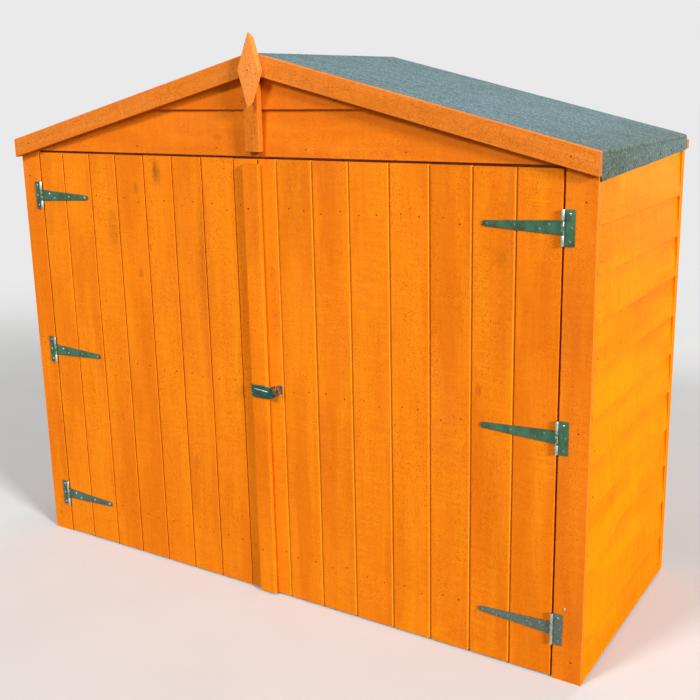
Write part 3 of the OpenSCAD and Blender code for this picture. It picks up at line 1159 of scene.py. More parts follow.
def grown(obj: Piece, tree: Tree, inputs: Mapping[str, Any]) -> Piece:
    """Run a geometry tree on an object and keep the result as its plain mesh.

    Args:
        obj: The object with the tree's start geometry.
        tree: The geometry tree.
        inputs: Values by input name.

    Returns:
        The same object, with no modifier.
    """
    modifier = obj.modifiers.new(tree.name, "NODES")
    modifier.node_group = tree
    for item in tree.interface.items_tree:
        if item.item_type == "SOCKET" and item.in_out == "INPUT" and item.name in inputs:
            modifier[item.identifier] = inputs[item.name]
    bpy.context.view_layer.update()
    graph = bpy.context.evaluated_depsgraph_get()
    result = obj.evaluated_get(graph)
    mesh = bpy.data.meshes.new_from_object(result, preserve_all_data_layers=True, depsgraph=graph)
    mesh.name = obj.name
    obj.modifiers.clear()
    obj.data = mesh
    return obj


@dataclass
class Fixings:
    """Nails, clouts and screws, gathered by body and set in one piece for each body."""

    nail_width: float = 4.0 * MM
    nail_height: float = 0.6 * MM
    nail_spread: float = 0.14
    clout_width: float = 7.0 * MM
    clout_height: float = 0.8 * MM
    clout_spread: float = 0.05
    screw_width: float = 6.4 * MM
    screw_height: float = 1.4 * MM
    screw_spread: float = 0.03
    points: dict[tuple[Fixing, Body], list[tuple[Vector, Vector]]] = field(default_factory=dict)

    def drive(self, kind: Fixing, body: Body, point: Vector, facing: Vector) -> None:
        """Set a head on a face of a body."""
        self.points.setdefault((kind, body), []).append((point, facing))

    def dress(self, finishes: Finishes) -> None:
        """Set all heads.

        Args:
            finishes: The materials.
        """
        flat, slotted = FixingTree(Head.FLAT).tree, FixingTree(Head.CROSS_SLOT).tree
        screw = (slotted, self.screw_width, self.screw_height, self.screw_spread)
        kinds = {
            Fixing.NAIL: (flat, self.nail_width, self.nail_height, self.nail_spread, finishes.nail),
            Fixing.CLOUT: (flat, self.clout_width, self.clout_height, self.clout_spread, finishes.nail),
            Fixing.SCREW: (*screw, finishes.passivated),
            Fixing.BRIGHT_SCREW: (*screw, finishes.zinc),
        }
        for seed, ((kind, body), spots) in enumerate(self.points.items()):
            tree, width, height, spread, finish = kinds[kind]
            name = f"{body.value}_{kind.value}"
            mesh = bpy.data.meshes.new(name)
            mesh.from_pydata([p for p, _ in spots], [], [])
            facing = mesh.attributes.new("facing", "FLOAT_VECTOR", "POINT")
            facing.data.foreach_set("vector", [c for _, f in spots for c in f])
            sizes = {"Diameter": width, "Height": height, "Spread": spread}
            piece = grown(shown(name, mesh), tree, {**sizes, "Seed": seed, "Finish": finish})
            place(piece, body, Slot.ZINC)


@dataclass
class Assembly:
    """A part of the store, with the materials and the fixings that it takes."""

    finishes: Finishes
    fixings: Fixings

    def nail(self, point: Vector, facing: Vector, body: Body = Body.STORE) -> None:
        """Drive a nail."""
        self.fixings.drive(Fixing.NAIL, body, point, facing)


@dataclass
class Posts(Assembly):
    """The two front post boards."""

    screw_in: float = 28 * MM
    screw_height: float = 0.193
    nail_in: float = 48 * MM
    nail_heights: tuple[float, ...] = (0.055, 0.64, 1.17)
    ease: float = 0.5 * MM
    wander: float = 0.5 * MM

    def build(self) -> None:
        """Build and dress both posts."""
        for side in Side:
            node = f"front_post_{side.word}"
            low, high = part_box(node)
            piece = TimberPiece(node + "_board")
            uneven = {"ease": self.ease, "wander": self.wander}
            piece.add_box((low, high), Grain(Z, X, Y), cuts=roof_planes(), tone=0.0, **uneven)
            finish = self.finishes.deep if side is Side.RIGHT else self.finishes.boards
            place(piece.build(finish), Body.STORE, Slot.BOARDS, node)
            inner = side.inner(low, high)
            for height in self.nail_heights:
                self.nail(Vector((inner + side.value * self.nail_in, low.y, height)), -Y)
            if side is Side.RIGHT:
                spot = Vector((inner + self.screw_in, low.y, self.screw_height))
                self.fixings.drive(Fixing.BRIGHT_SCREW, Body.STORE, spot, -Y)


@dataclass
class Cladding(Assembly):
    """Overlap boards on both sides and at the back, with the rear corner strips."""

    pitch: float = 111.5 * MM
    taper: float = 9 * MM
    lap: float = 11 * MM
    lowest: float = 4 * MM
    side_courses: int = 10
    side_steps: int = 9
    side_lean: tuple[float, float, float] = (0.0016, 0.0, 0.0)
    side_seed: int = 7
    end_gap: float = 0.5 * MM
    rear_courses: int = 14
    rear_steps: int = 22
    rear_lean: tuple[float, float, float] = (0.0, 0.0006, 0.0)
    rear_seed: int = 23
    ease: float = 0.7 * MM
    wander: float = 0.5 * MM
    nail_up: float = 26 * MM
    nail_front: float = 26 * MM
    nail_end: float = 20 * MM
    nail_wander: float = 6 * MM
    nail_under_roof: float = 60 * MM
    corner_ease: float = 1.2 * MM
    corner_nails: tuple[float, ...] = (0.06, 0.28, 0.5, 0.72, 0.93)
    # A darker band on each board under the lap above: dirt and pooled stain, and painted shade under the
    # lap.
    dirt_h: float = 38 * MM
    dirt_l: float = 9.0
    dirt: float = 0.26

    def build(self) -> None:
        """Build and dress the walls."""
        tree = CourseTree().tree
        for side in Side:
            self._side(side, tree)
            self._corner(side)
        self._rear(tree)

    @property
    def nail_slant(self) -> float:
        """How far a nail lies behind the lower edge of its board."""
        return self.nail_up / self.pitch * self.taper

    def _outline(self, out: Vector, foot: Vector, rise: float) -> list[Vector]:
        """The end of one overlap board.

        Args:
            out: Direction out of the wall.
            foot: A point on the outer line of the lower edges, at the board's foot.
            rise: Height of the part that shows.

        Returns:
            The corners of the board's end.
        """
        thick, tall = self.taper, rise + self.lap
        heights = (0.0, rise / 2, rise - self.dirt_h, rise - self.dirt_h / 2, rise, tall)
        outer = [foot + Z * height - out * (thick * height / tall) for height in heights]
        return [*outer, outer[-1] - out * (thick - 1 * MM), foot - out * (thick - 0.4 * MM)]

    def _dirt(self, out: Vector, foot: Vector) -> Mark:
        """Dirt and pooled stain on a board just under the lap of the next one, with painted shade under the
        lap.
        """
        slant = self.taper * self.pitch / (self.pitch + self.lap)
        return Mark(foot + Z * self.pitch - out * slant, self.dirt_l, self.dirt_h, self.dirt)

    def _courses(
        self,
        name: str,
        out: Vector,
        foot: Vector,
        sweep: Vector,
        steps: int,
        tree: Tree,
        layout: Mapping[str, Any],
    ) -> Piece:
        """Like courses of one wall, from a tree.

        Args:
            name: Name of the piece.
            out: Direction out of the wall.
            foot: Foot of the lowest board, at its first end.
            sweep: From the first end to the other.
            steps: Lengths that a board is divided into.
            tree: The course tree.
            layout: The tree's count, lean and seed.

        Returns:
            The piece.
        """
        board = TimberPiece(name)
        grain = Grain(sweep.normalized(), Z, -out)
        marks = (self._dirt(out, foot),)
        outline = self._outline(out, foot, self.pitch)
        board.add(outline, sweep, grain, steps, self.ease, self.wander, marks=marks, tone=0.0)
        inputs = {**layout, "Pitch": self.pitch, "Finish": self.finishes.walls}
        return grown(board.build(self.finishes.walls), tree, inputs)

    def _side(self, side: Side, tree: Tree) -> None:
        """One side wall: like courses, and a higher top board under the felt.

        Args:
            side: The wall's side.
            tree: The course tree.
        """
        node = f"side_wall_{side.word}"
        low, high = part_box(node)
        out = X * side.value
        edge = side.outer(low, high)
        sweep = Y * (high.y - low.y - 2 * self.end_gap)
        foot = Vector((edge, low.y + self.end_gap, self.lowest))
        layout = {"Count": self.side_courses, "Lean": self.side_lean, "Seed": self.side_seed + side.value}
        piece = self._courses(node + "_boards", out, foot, sweep, self.side_steps, tree, layout)
        place(piece, Body.STORE, Slot.BOARDS, node)
        foot.z = self.lowest + self.side_courses * self.pitch
        top = TimberPiece(node + "_top_board")
        outline = self._outline(out, foot, high.z - foot.z - self.lap)
        top.add(outline, sweep, Grain(Y, Z, -out), self.side_steps, self.ease, self.wander)
        place(top.build(self.finishes.walls), Body.STORE, Slot.BOARDS)
        facing = Vector((side.value, 0, self.taper / self.pitch)).normalized()
        for course in range(self.side_courses + 1):
            for at in (low.y + self.nail_front, high.y - self.nail_end):
                wander = self.nail_wander * noise.noise(Vector((course * 1.7, at * 9, side.value)))
                height = self.lowest + course * self.pitch + self.nail_up + wander
                self.nail(Vector((edge - side.value * self.nail_slant, at, height)), facing)

    def _corner(self, side: Side) -> None:
        """The strip over the rear ends of the side boards.

        Args:
            side: The wall's side.
        """
        node = f"corner_strip_{side.word}"
        low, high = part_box(node)
        piece = TimberPiece(node + "_batten")
        grain = Grain(Z, Y, X * -side.value)
        piece.add_box((low, high), grain, wander=self.wander, ease=self.corner_ease)
        place(piece.build(self.finishes.walls), Body.STORE, Slot.BOARDS, node)
        for share in self.corner_nails:
            height = low.z + share * (high.z - low.z)
            self.nail(Vector((side.outer(low, high), (low.y + high.y) / 2, height)), X * side.value)

    def _rear(self, tree: Tree) -> None:
        """The rear wall, with its courses cut to the roof slopes.

        Args:
            tree: The course tree.
        """
        node = "rear_wall"
        low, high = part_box(node)
        foot = Vector((low.x, high.y, self.lowest))
        sweep = X * (high.x - low.x)
        layout = {"Count": self.rear_courses, "Lean": self.rear_lean, "Seed": self.rear_seed}
        piece = self._courses(node + "_boards", Y, foot, sweep, self.rear_steps, tree, layout)
        bm = bmesh.new()
        bm.from_mesh(piece.data)
        cut_away(bm, roof_planes())
        bm.to_mesh(piece.data)
        bm.free()
        place(piece, Body.STORE, Slot.BOARDS, node)
        facing = Vector((0, 1, self.taper / self.pitch)).normalized()
        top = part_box("ridge_rail")[1].z - self.nail_under_roof
        for course in range(self.rear_courses):
            for at in (low.x + self.nail_end, 0.0, high.x - self.nail_end):
                height = self.lowest + course * self.pitch + self.nail_up
                if height < top - abs(at) * TAN:
                    self.nail(Vector((at, high.y - self.nail_slant, height)), facing)


@dataclass
class Gable(Assembly):
    """The front gable's two overlap boards, its strip and its finial."""

    taper: float = 9 * MM
    lower_reach: float = 0.72
    upper_reach: float = 0.34
    nail_gap: float = 0.29
    nail_up: float = 20 * MM
    strip_nail_up: float = 35 * MM
    tip_flat: float = 2 * MM
    tip_slope: float = 0.75

    def build(self) -> None:
        """Build and dress the gable."""
        self._board("gable_board_lower", self.lower_reach)
        self._board("gable_board_upper", self.upper_reach)
        self._strip()
        self._finial()

    def _board(self, node: str, reach: float) -> None:
        """One overlap board, cut to the roof slopes.

        Args:
            node: The board's solid.
            reach: Distance of the first nail from the middle.
        """
        low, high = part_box(node)
        tall = high.z - low.z
        face = [(low.y + self.taper * share, low.z + tall * share) for share in (0, 0.5, 1)]
        corners = [*face, (high.y, high.z), (high.y, low.z)]
        outline = [Vector((low.x, y, z)) for y, z in corners]
        piece = TimberPiece(node + "_timber")
        sweep, grain = X * (high.x - low.x), Grain(X, Z, Y)
        uneven = {"ease": 0.8 * MM, "wander": 0.4 * MM}
        piece.add(outline, sweep, grain, steps=20, cuts=roof_planes(), tone=-0.1, **uneven)
        place(piece.build(self.finishes.deep), Body.STORE, Slot.BOARDS, node)
        facing = Vector((0, -1, self.taper / tall)).normalized()
        at = -reach
        while at <= reach:
            self.nail(Vector((at, low.y + self.taper * self.nail_up / tall, low.z + self.nail_up)), facing)
            at += self.nail_gap

    def _strip(self) -> None:
        """The upright strip on the gable."""
        node = "gable_strip"
        low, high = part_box(node)
        piece = TimberPiece(node + "_batten")
        uneven = {"ease": 1.2 * MM, "wander": 0.4 * MM}
        piece.add_box((low, high), Grain(Z, X, Y), cuts=roof_planes(node), tone=-0.7, **uneven)
        place(piece.build(self.finishes.trim), Body.STORE, Slot.TRIM, node)
        self.nail(Vector(((low.x + high.x) / 2, low.y, low.z + self.strip_nail_up)), -Y)

    def _finial(self) -> None:
        """The leaning diamond at the ridge, its corners read off the solid."""
        points = [v.co.copy() for v in frame["nodes"]["finial"].data.vertices]
        corners = [max(points, key=lambda p: p.dot(way)) for way in (Z, X, -Z, -X)]
        low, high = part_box("finial")
        outline = [Vector((p.x, low.y, p.z)) for p in corners]
        lean = (outline[0] - outline[2]).normalized()
        cuts = []
        for tip, up in ((outline[0], Z), (outline[2], -Z)):
            cuts.append((tip + Y * self.tip_flat, (Y * self.tip_slope + up).normalized()))
        piece = TimberPiece("finial_diamond")
        grain = Grain(lean, lean.cross(Y), Y)
        piece.add(outline, Y * (high.y - low.y), grain, ease=1.0 * MM, cuts=cuts, tone=2.2)
        place(piece.build(self.finishes.trim), Body.STORE, Slot.TRIM, "finial")
        middle = sum(outline, Vector()) / 4
        self.nail(Vector((middle.x, low.y, middle.z)), -Y)


# A point on the felt's upper face, the direction out of it there, and how bleached it is, with its painted
# sky sheen.
FeltPoint = tuple[Vector, Vector, float]
# A point on the felt's upper face, the one under it, and how bleached they are, with their painted sky
# sheen.
FeltPair = tuple[Vector, Vector, float]


@dataclass
class Roof(Assembly):
    """Roof boarding, the felt over it and the bargeboards."""

    boards: int = 9
    board_t: float = 10 * MM
    joint: float = 0.4 * MM
    spare: float = 10 * MM
    barge_h: float = 52 * MM
    barge_rear_h: float = 24 * MM
    barge_spare: float = 30 * MM
    barge_nail: float = 58 * MM
    felt_t: float = 3 * MM
    ridge_r: float = 24 * MM
    fold_r: float = 9 * MM
    drop_front: float = 66 * MM
    drop_rear: float = 41 * MM
    ragged: float = 2.2 * MM
    set_back: float = 5 * MM
    worn_at: float = 0.30
    worn_loss: float = 0.45
    worn_power: float = 2.2
    apron_front: float = 0.1
    apron_gain: float = 0.52
    along_steps: int = 56
    slope_steps: int = 64
    ridge_steps: int = 4
    fold_steps: int = 8
    clouts: int = 7
    clout_up: float = 14 * MM
    clout_in: float = 0.6 * MM

    def build(self) -> None:
        """Build and dress the roof."""
        for side in Side:
            self._boarding(side)
            for end in ("front", "rear"):
                self._bargeboard(side, end)
        self._felt()

    @staticmethod
    def _plumb_cuts(side: Side, reach: float) -> list[Plane]:
        """The cuts at the ridge and at the eaves on one side."""
        out = X * side.value
        return [(Vector((0, 0, 0)), -out), (out * reach, out)]

    def _boarding(self, side: Side) -> None:
        """Narrow boards from front to back on one slope, with open joints below.

        Args:
            side: The slope's side.
        """
        node = f"roof_board_{side.word}"
        low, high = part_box(node)
        down, inward = slope_axes(side)
        reach = max(abs(low.x), abs(high.x))
        wide = reach / COS / self.boards
        ridge = Vector((0, low.y, high.z))
        piece = TimberPiece(node + "_timber")
        form = {"steps": 8, "ease": 1.4 * MM, "wander": 0.2 * MM, "cuts": self._plumb_cuts(side, reach)}
        for k in range(self.boards):
            first = -self.spare if k == 0 else k * wide + self.joint
            last = wide * (k + 1) + (self.spare if k == self.boards - 1 else -self.joint)
            corners = ((first, 0), (last, 0), (last, self.board_t), (first, self.board_t))
            outline = [ridge + down * u + inward * v for u, v in corners]
            piece.add(outline, Y * (high.y - low.y), Grain(Y, down, inward), **form)
        place(piece.build(self.finishes.framing), Body.STORE, Slot.FRAMING, node)

    def _bargeboard(self, side: Side, end: str) -> None:
        """One bargeboard, cut plumb at the ridge and at the eaves.

        Args:
            side: The slope's side.
            end: Front or rear.
        """
        node = f"bargeboard_{end}_{side.word}"
        low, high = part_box(node)
        reach = max(abs(low.x), abs(high.x))
        wide, out, face = (self.barge_h, -Y, low.y) if end == "front" else (self.barge_rear_h, Y, high.y)
        down, inward = slope_axes(side)
        ridge = Vector((0, face, high.z))
        thick = -out * (high.y - low.y)
        start = ridge - down * self.barge_spare
        levels = [start + inward * (wide * s) for s in (0, 1 / 3, 2 / 3, 1)]
        outline = levels + [levels[-1] + thick, levels[0] + thick]
        sweep = down * (reach / COS + 2 * self.barge_spare)
        piece = TimberPiece(node + "_timber")
        form = {"steps": 14, "ease": 0.7 * MM, "wander": 0.5 * MM, "cuts": self._plumb_cuts(side, reach)}
        piece.add(outline, sweep, Grain(down, inward, -out), **form)
        place(piece.build(self.finishes.trim), Body.STORE, Slot.TRIM, node)
        self.nail(ridge + down * (reach / COS - self.barge_nail) + inward * (wide * 0.5), out)

    def _profile(self, corner: Vector) -> list[FeltPoint]:
        """The felt's right half from the ridge to the end of the fold.

        Args:
            corner: Highest corner of the felt's box.

        Returns:
            The points in order.
        """
        down, inward = slope_axes(Side.RIGHT)
        normal = -inward
        ridge = Vector((0, 0, corner.z))
        eave = ridge + down * (corner.x / COS)
        first = self.ridge_r * TAN
        turn = math.pi / 2 - PITCH
        last = (eave - ridge).length - self.fold_r * math.tan(turn / 2)
        row = []
        centre = ridge - Z * (self.ridge_r / COS)
        for k in range(self.ridge_steps):
            angle = PITCH * k / self.ridge_steps
            ray = Vector((math.sin(angle), 0, math.cos(angle)))
            row.append((centre + ray * self.ridge_r, ray, 1.0))
        for k in range(self.slope_steps + 1):
            length = first + (last - first) * k / self.slope_steps
            # Near the eaves the slope keeps less of its weathering and painted sheen, so it turns darker.
            near = max(0.0, (length - last + self.worn_at) / self.worn_at)
            row.append((ridge + down * length, normal, 1.0 - self.worn_loss * near**self.worn_power))
        centre = ridge + down * last - normal * self.fold_r
        for k in range(1, self.fold_steps + 1):
            share = k / self.fold_steps
            angle = PITCH + turn * share
            ray = Vector((math.sin(angle), 0, math.cos(angle)))
            bleached = 1.0 - self.worn_loss - (1.0 - self.worn_loss - self.apron_front) * share
            row.append((centre + ray * self.fold_r, ray, bleached))
        return row

    def _hem(self, corner: Vector, share: float) -> float:
        """Height of the apron's lower edge at a share of the way to the rear."""
        drop = self.drop_front + share * (self.drop_rear - self.drop_front)
        return corner.z - corner.x * TAN - drop

    def _line(self, half: list[FeltPoint], box: Box, share: float) -> list[FeltPair]:
        """The felt from its left hem to its right hem, at one distance from the front.

        Args:
            half: The right half's profile.
            box: The felt's box.
            share: The distance, as a share of the felt's depth.

        Returns:
            The points in order.
        """
        low, high = box
        at = low.y + share * (high.y - low.y)
        start = half[-1][0]
        halves = []
        for side in Side:
            ragged = self.ragged * noise.noise(Vector((at * 16, side.value * 5.0, 2.0)))
            fall = self._hem(high, share) + abs(ragged) - start.z
            # The aprons take more of the paler, bluer colour towards the rear.
            bleached = self.apron_front + self.apron_gain * share
            apron = [
                (Vector((start.x, 0, start.z + fall * k / self.fold_steps)), X, bleached)
                for k in range(1, self.fold_steps + 1)
            ]
            row = []
            for number, (point, normal, weather) in enumerate(half + apron):
                folded = max(0, number - len(half) + 1) / self.fold_steps
                flat = noise.noise(Vector((point.x * 5, at * 4, side.value * 3.0)))
                fine = noise.noise(Vector((point.x * 17, at * 15 + point.z * 9, side.value * 7.0)))
                # It lies within a millimetre or so of its solid, looser on the apron.
                sink = (0.45 + 0.35 * flat + 0.2 * fine) * (0.9 + 0.6 * folded) * MM
                back = at + self.set_back * folded * (1 - share)
                top = point - normal * sink
                under = top - normal * self.felt_t
                row.append((*[Vector((side.value * p.x, back, p.z)) for p in (top, under)], weather))
            halves.append(row)
        return halves[0][::-1] + halves[1][1:]

    def _felt(self) -> None:
        """One sheet of felt: slopes that lie a little uneven, folded down over the eaves."""
        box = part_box("roof_felt")
        low, high = box
        half = self._profile(high)
        points, weather = [], []
        for j in range(self.along_steps + 1):
            line = self._line(half, box, j / self.along_steps)
            points += [p[0] for p in line] + [p[1] for p in reversed(line)]
            weather += [p[2] for p in line] + [p[2] for p in reversed(line)]
        size, faces = 2 * len(line), []
        for j in range(self.along_steps):
            for k in range(size):
                n = (k + 1) % size
                faces.append((j * size + k, j * size + n, (j + 1) * size + n, (j + 1) * size + k))
        last = self.along_steps * size
        for k in range(size // 2 - 1):
            pair = (k, k + 1, size - 2 - k, size - 1 - k)
            faces += [tuple(reversed(pair)), tuple(last + i for i in pair)]
        mesh = bpy.data.meshes.new("felt_sheet")
        mesh.from_pydata(points, [], faces)
        mesh.attributes.new("weather", "FLOAT", "POINT").data.foreach_set("value", weather)
        turn_outward(mesh)
        piece = smoothed("felt_sheet", mesh, self.finishes.felt, 50)
        place(piece, Body.STORE, Slot.FELT, "roof_felt")
        for side in Side:
            for k in range(self.clouts):
                share = (k + 0.5) / self.clouts
                at = low.y + share * (high.y - low.y)
                height = self._hem(high, share) + self.clout_up
                spot = Vector((side.value * (high.x - self.clout_in), at, height))
                self.fixings.drive(Fixing.CLOUT, Body.STORE, spot, X * side.value)


@dataclass
class Framing(Assembly):
    """Battens behind the cladding."""

    ease: float = 1.2 * MM
    battens: tuple[str, ...] = (
        "front_upright_left",
        "front_upright_right",
        "rear_upright_left",
        "rear_upright_right",
        "rear_upright_middle",
        "door_header",
        "side_rails_left",
        "side_rails_right",
        "rear_rails",
        "ridge_rail",
    )

    def build(self) -> None:
        """Build and dress every batten, with the grain along its longest side."""
        for node in self.battens:
            piece = TimberPiece(node + "_timber")
            for low, high in solids(node):
                size = high - low
                grain = Grain(*sorted((X, Y, Z), key=lambda way: -size.dot(way)))
                piece.add_box((low, high), grain, ease=self.ease, cuts=roof_planes())
            place(piece.build(self.finishes.framing), Body.STORE, Slot.FRAMING, node)


@dataclass
class Door(Assembly):
    """One boarded door: boards, ledges, braces and, on the left, the cover strip."""

    side: Side
    seams: tuple[float, ...]
    gap: float = 2.4 * MM
    chamfer: float = 4.4 * MM
    tones: tuple[float, ...] = (0.0, 0.1, -0.5, -0.2, 0.3, -0.9, -1.3, -0.8)
    marks: tuple[Mark, ...] = ()
    marked_steps: tuple[int, int] = (14, 130)
    plain_steps: int = 20
    uneven_top: float = 1.2 * MM
    tongue_in: float = 0.8 * MM
    tongue_drop: float = 3 * MM
    tongue_shares: tuple[float, float] = (0.6, 0.85)
    nail_shares: tuple[float, float] = (0.27, 0.73)
    nail_edge: float = 10 * MM
    nail_sink: float = 0.15 * MM
    nail_wander: tuple[float, float] = (6.0, 9.0)
    strip_zone: tuple[float, float] = (-0.05, 0.015)
    brace_w: float = 80 * MM
    strip_rebate: float = 2 * MM
    strip_nail_in: float = 14 * MM
    strip_nail_sink: float = 0.1 * MM

    def build(self) -> None:
        """Build and dress the door."""
        self._boards()
        self._ledges()
        self._braces()
        if self.side is Side.LEFT:
            self._cover_strip()

    @property
    def body(self) -> Body:
        """The body that the door rides on."""
        return self.side.door

    def _face(
        self, ends: tuple[float, float], marked: bool, first: bool, last: bool
    ) -> list[tuple[float, float]]:
        """The front of one board's end, as X and depth: the edge on the hinges' side is chamfered.

        Args:
            ends: X of the board's two edges.
            marked: Whether a streak needs a finer mesh on it.
            first: Whether it is the door's first board from the left.
            last: Whether it is the last.

        Returns:
            The points from left to right.
        """
        a, b = ends
        count = self.marked_steps[0]
        shares = [k / count for k in range(count + 1)] if marked else [0.0, 0.3, 0.7, 1.0]
        face = [(a + (b - a) * share, 0.0) for share in shares]
        if self.side is Side.RIGHT and not last:
            face[-1:] = [(b - self.chamfer, 0.0), (b, self.chamfer)]
        if self.side is Side.LEFT and not first:
            face[:1] = [(a, self.chamfer), (a + self.chamfer, 0.0)]
        return face

    def _boards(self) -> None:
        """Tongued boards with a chamfer along each joint."""
        node = f"{self.body.value}_boards"
        low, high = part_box(node)
        thick = high.y - low.y
        edges = [low.x, *self.seams, high.x]
        piece = TimberPiece(node + "_timber")
        grain = Grain(Z, X, Y)
        for first, last, tone in zip(edges, edges[1:], self.tones):
            a = first + (self.gap / 2 if first > low.x else 0)
            b = last - (self.gap / 2 if last < high.x else 0)
            drop = piece.random.uniform(0, self.uneven_top)
            marked = any(a < m.centre.x < b for m in self.marks)
            face = self._face((a, b), marked, first <= low.x, last >= high.x)
            outline = [Vector((x, low.y + y, low.z)) for x, y in face]
            outline += [Vector((x, high.y, low.z)) for x in (b, a)]
            steps = self.marked_steps[1] if marked else self.plain_steps
            tall = Z * (high.z - low.z - drop)
            form = {"steps": steps, "ease": 0.6 * MM, "wander": 0.45 * MM}
            piece.add(outline, tall, grain, marks=self.marks, tone=tone, **form)
            if last < high.x:
                near, far = [low.y + thick * share for share in self.tongue_shares]
                foot = Vector((b - self.tongue_in, near, low.z))
                head = Vector((b + self.gap + self.tongue_in, far, high.z - self.tongue_drop))
                piece.add_box((foot, head), grain, steps=1, ease=0.0, tone=-1.0)
            self._nail_board(piece.random, first, last, low.y)
        place(piece.build(self.finishes.boards), self.body, Slot.BOARDS, node)

    def _nail_board(self, chance: random.Random, first: float, last: float, face: float) -> None:
        """Two nails through a board into each ledge.

        Args:
            chance: The piece's random numbers.
            first: X of the board's left edge.
            last: X of its right edge.
            face: Y of the door's face.
        """
        across, up = self.nail_wander
        for low, high in solids(f"{self.body.value}_ledges"):
            middle = (low.z + high.z) / 2
            for share in self.nail_shares:
                at = first + (last - first) * share + chance.uniform(-across, across) * MM
                covered = self.strip_zone[0] < at < self.strip_zone[1]
                if low.x + self.nail_edge < at < high.x - self.nail_edge and not covered:
                    height = middle + chance.uniform(-up, up) * MM
                    self.nail(Vector((at, face + self.nail_sink, height)), -Y, self.body)

    def _ledges(self) -> None:
        """The three ledges behind the boards."""
        node = f"{self.body.value}_ledges"
        piece = TimberPiece(node + "_timber")
        for box in solids(node):
            piece.add_box(box, Grain(X, Z, -Y), ease=2.0 * MM, wander=0.4 * MM)
        place(piece.build(self.finishes.framing), self.body, Slot.FRAMING, node)

    def _braces(self) -> None:
        """The two braces, each from the hinge side up to the free side."""
        node = f"{self.body.value}_braces"
        piece = TimberPiece(node + "_timber")
        for low, high in solids(node):
            foot, head = self.side.outer(low, high), self.side.inner(low, high)
            wide = math.copysign(self.brace_w, head - foot)
            corners = ((foot, low.z), (foot + wide, low.z), (head, high.z), (head - wide, high.z))
            outline = [Vector((x, low.y, z)) for x, z in corners]
            along = (outline[3] - outline[0]).normalized()
            grain = Grain(along, along.cross(Y), -Y)
            piece.add(outline, Y * (high.y - low.y), grain, ease=1.5 * MM)
        place(piece.build(self.finishes.framing), self.body, Slot.FRAMING, node)

    def _cover_strip(self) -> None:
        """The strip over the meeting line, rebated where it laps over the right door."""
        low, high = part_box("cover_strip")
        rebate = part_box("left_door_boards")[1].x
        step = high.y - self.strip_rebate
        face = [(low.x * (1 - share) + high.x * share, low.y) for share in (0, 0.35, 0.7, 1)]
        face += [(high.x, step), (rebate, step), (rebate, high.y), (low.x, high.y)]
        outline = [Vector((x, y, low.z)) for x, y in face]
        piece = TimberPiece("cover_strip_batten")
        form = {"steps": 16, "ease": 0.5 * MM, "wander": 0.4 * MM, "tone": -0.4}
        piece.add(outline, Z * (high.z - low.z), Grain(Z, X, Y), **form)
        place(piece.build(self.finishes.boards), self.body, Slot.BOARDS, "cover_strip")
        for ledge in solids("left_door_ledges"):
            height = (ledge[0].z + ledge[1].z) / 2
            spot = Vector((low.x + self.strip_nail_in, low.y + self.strip_nail_sink, height))
            self.nail(spot, -Y, self.body)


@dataclass(frozen=True)
class Barrel:
    """The round of a hinge, with how far its paint is rubbed off."""

    pin: Vector
    radius: float
    bare: float

    def holds(self, face: bmesh.types.BMFace) -> bool:
        """Whether a face lies on the barrel."""
        spread = [math.hypot(v.co.x - self.pin.x, v.co.y - self.pin.y) for v in face.verts]
        return max(spread) < self.radius * 1.05


# Angles in radians over which a metal edge counts as a plate's corner, and as sharp.
CORNER_EDGE, SHARP_EDGE = 1.4, 0.7


def eased_metal(
    name: str,
    node: str,
    material: Material,
    ease: float = 0.35 * MM,
    corner: float = 0.0,
    barrel: Barrel | None = None,
) -> Piece:
    """A metal solid with eased edges and a mask of where paint wears first.

    Args:
        name: Name of the piece.
        node: The solid to copy.
        material: Its finish.
        ease: Width of the eased edges.
        corner: Radius of the plates' outer corners.
        barrel: The round of a hinge that has lost its paint.

    Returns:
        The new piece.
    """
    bm = merged_copy(node)
    common = {"profile": 0.5, "affect": "EDGES", "clamp_overlap": True}
    if corner:
        upright = [
            e
            for e in bm.edges
            if e.is_manifold
            and e.calc_face_angle_signed(0) > CORNER_EDGE
            and abs((e.verts[0].co - e.verts[1].co).normalized().y) > 0.99
        ]
        bmesh.ops.bevel(bm, geom=upright, offset=corner, segments=4, **common)
    sharp = [e for e in bm.edges if e.is_manifold and e.calc_face_angle_signed(0) > SHARP_EDGE]
    bevelled = bmesh.ops.bevel(bm, geom=sharp, offset=ease, segments=2, **common)
    wear = bm.loops.layers.float.new("wear")
    worn = [(face, 1.0) for face in bevelled["faces"]]
    if barrel:
        worn += [(face, barrel.bare) for face in bm.faces if barrel.holds(face)]
    for face, bare in worn:
        for loop in face.loops:
            loop[wear] = bare
    mesh = bpy.data.meshes.new(name)
    bm.to_mesh(mesh)
    bm.free()
    return smoothed(name, mesh, material, 35)


